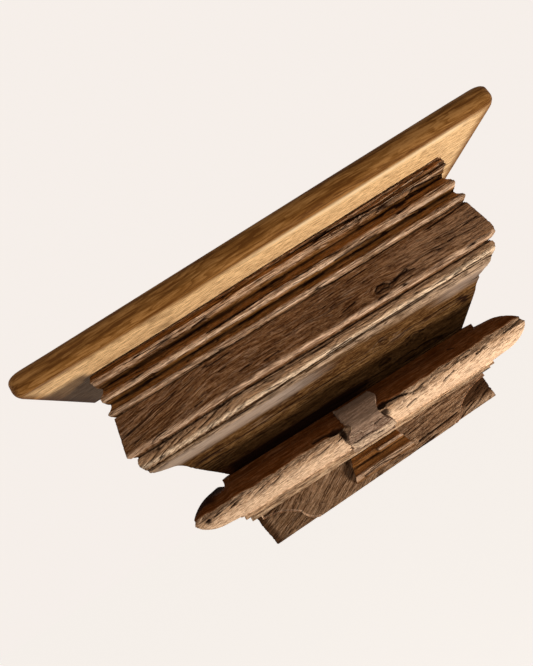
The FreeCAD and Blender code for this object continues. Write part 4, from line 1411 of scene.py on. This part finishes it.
build_board()
build_course("worn_crown", "crown_block", CROWN_LOOK, pin_hole_cutters())
build_course("worn_fascia", "fascia_block", FASCIA_LOOK)
build_course("worn_bead", "bead_block", BEAD_LOOK)
build_course("worn_cove", "cove_block", COVE_LOOK)
build_torus()
build_course("split_upper_slat", "upper_slat", SLAT_LOOK)
build_course("split_lower_slat", "lower_slat", SLAT_LOOK)
build_course("worn_base", "base_block", BASE_LOOK)
build_apron()
build_strap()
build_tongue()

for node, slot in SLOT_OF_NODE.items():
    cad = nodes[node]
    cad.data.materials.clear()
    cad.data.materials.append(MATERIALS[slot])


# Stage, light and camera
def pointed(thing, place, target):
    thing.location = place
    thing.rotation_euler = (target - place).to_track_quat("-Z", "Y").to_euler()


def add_lamp(name, direction, distance, size, power, colour):
    lamp = bpy.data.lights.new(name, "AREA")
    lamp.shape = "DISK"
    lamp.size = size
    lamp.energy = power
    lamp.color = colour
    holder = linked(name, lamp)
    middle = (cad_box[0] + cad_box[1]) / 2
    pointed(holder, middle + direction.normalized() * distance, middle)
    holder.visible_camera = False


def seen_directly(tree):
    """1 for rays from the camera, off a glossy face or through a clear one, 0 for the light that falls."""
    path = tree.nodes.new("ShaderNodeLightPath")
    seen = path.outputs["Is Camera Ray"]
    for kind in ("Is Glossy Ray", "Is Transmission Ray"):
        either = tree.nodes.new("ShaderNodeMath")
        either.operation = "MAXIMUM"
        tree.links.new(seen, either.inputs[0])
        tree.links.new(path.outputs[kind], either.inputs[1])
        seen = either.outputs[0]
    return seen


def add_world():
    """A pale backdrop for what is seen, and a softer light for the rest."""
    world = bpy.data.worlds.new("studio")
    bpy.context.scene.world = world
    world.use_nodes = True
    tree = world.node_tree
    tree.nodes.clear()
    both = tree.nodes.new("ShaderNodeMixShader")
    tree.links.new(seen_directly(tree), both.inputs[0])
    for place, (colour, strength) in enumerate(((AMBIENT_COLOUR, AMBIENT_STRENGTH), (BACKGROUND, 1.0)), 1):
        light = tree.nodes.new("ShaderNodeBackground")
        light.inputs["Color"].default_value = solid(colour)
        light.inputs["Strength"].default_value = strength
        tree.links.new(light.outputs[0], both.inputs[place])
    output = tree.nodes.new("ShaderNodeOutputWorld")
    tree.links.new(both.outputs[0], output.inputs[0])


def add_floor():
    """A pale floor as bright as the backdrop, that keeps the shadow."""
    corners = FLOOR_HALF * np.array([(-1, -1, 0), (1, -1, 0), (1, 1, 0), (-1, 1, 0)]) + (0, 0, FLOOR_LEVEL)
    floor = mesh_object("floor", corners / MM, [(0, 1, 2, 3)])
    shades = Shades("floor_pale")
    shades.set(Base_Color=solid(BACKGROUND), Roughness=1.0, Specular_IOR_Level=0.0,
               Emission_Color=solid(FLOOR_GLOW), Emission_Strength=seen_directly(shades.tree))
    floor.data.materials.append(shades.material)


def add_camera():
    camera = linked("camera", bpy.data.cameras.new("camera"))
    camera.data.lens = CAMERA_LENS
    camera.data.sensor_width = SENSOR_WIDTH
    camera.data.sensor_fit = "AUTO"
    camera.data.clip_start = CLIP_START
    camera.matrix_world = (
        Matrix.Translation(CAMERA_PLACE)
        @ Matrix.Rotation(-CAMERA_HEADING, 4, "Z")
        @ Matrix.Rotation(math.pi / 2 + CAMERA_PITCH, 4, "X")
        @ Matrix.Rotation(CAMERA_ROLL, 4, "Z"))
    bpy.context.scene.camera = camera


add_world()
add_floor()
add_lamp("key", KEY_DIRECTION, KEY_DISTANCE, KEY_SIZE, KEY_POWER, KEY_COLOUR)
add_lamp("fill", FILL_DIRECTION, FILL_DISTANCE, FILL_SIZE, FILL_POWER, FILL_COLOUR)
add_camera()
bpy.context.scene.view_settings.view_transform = "Standard"
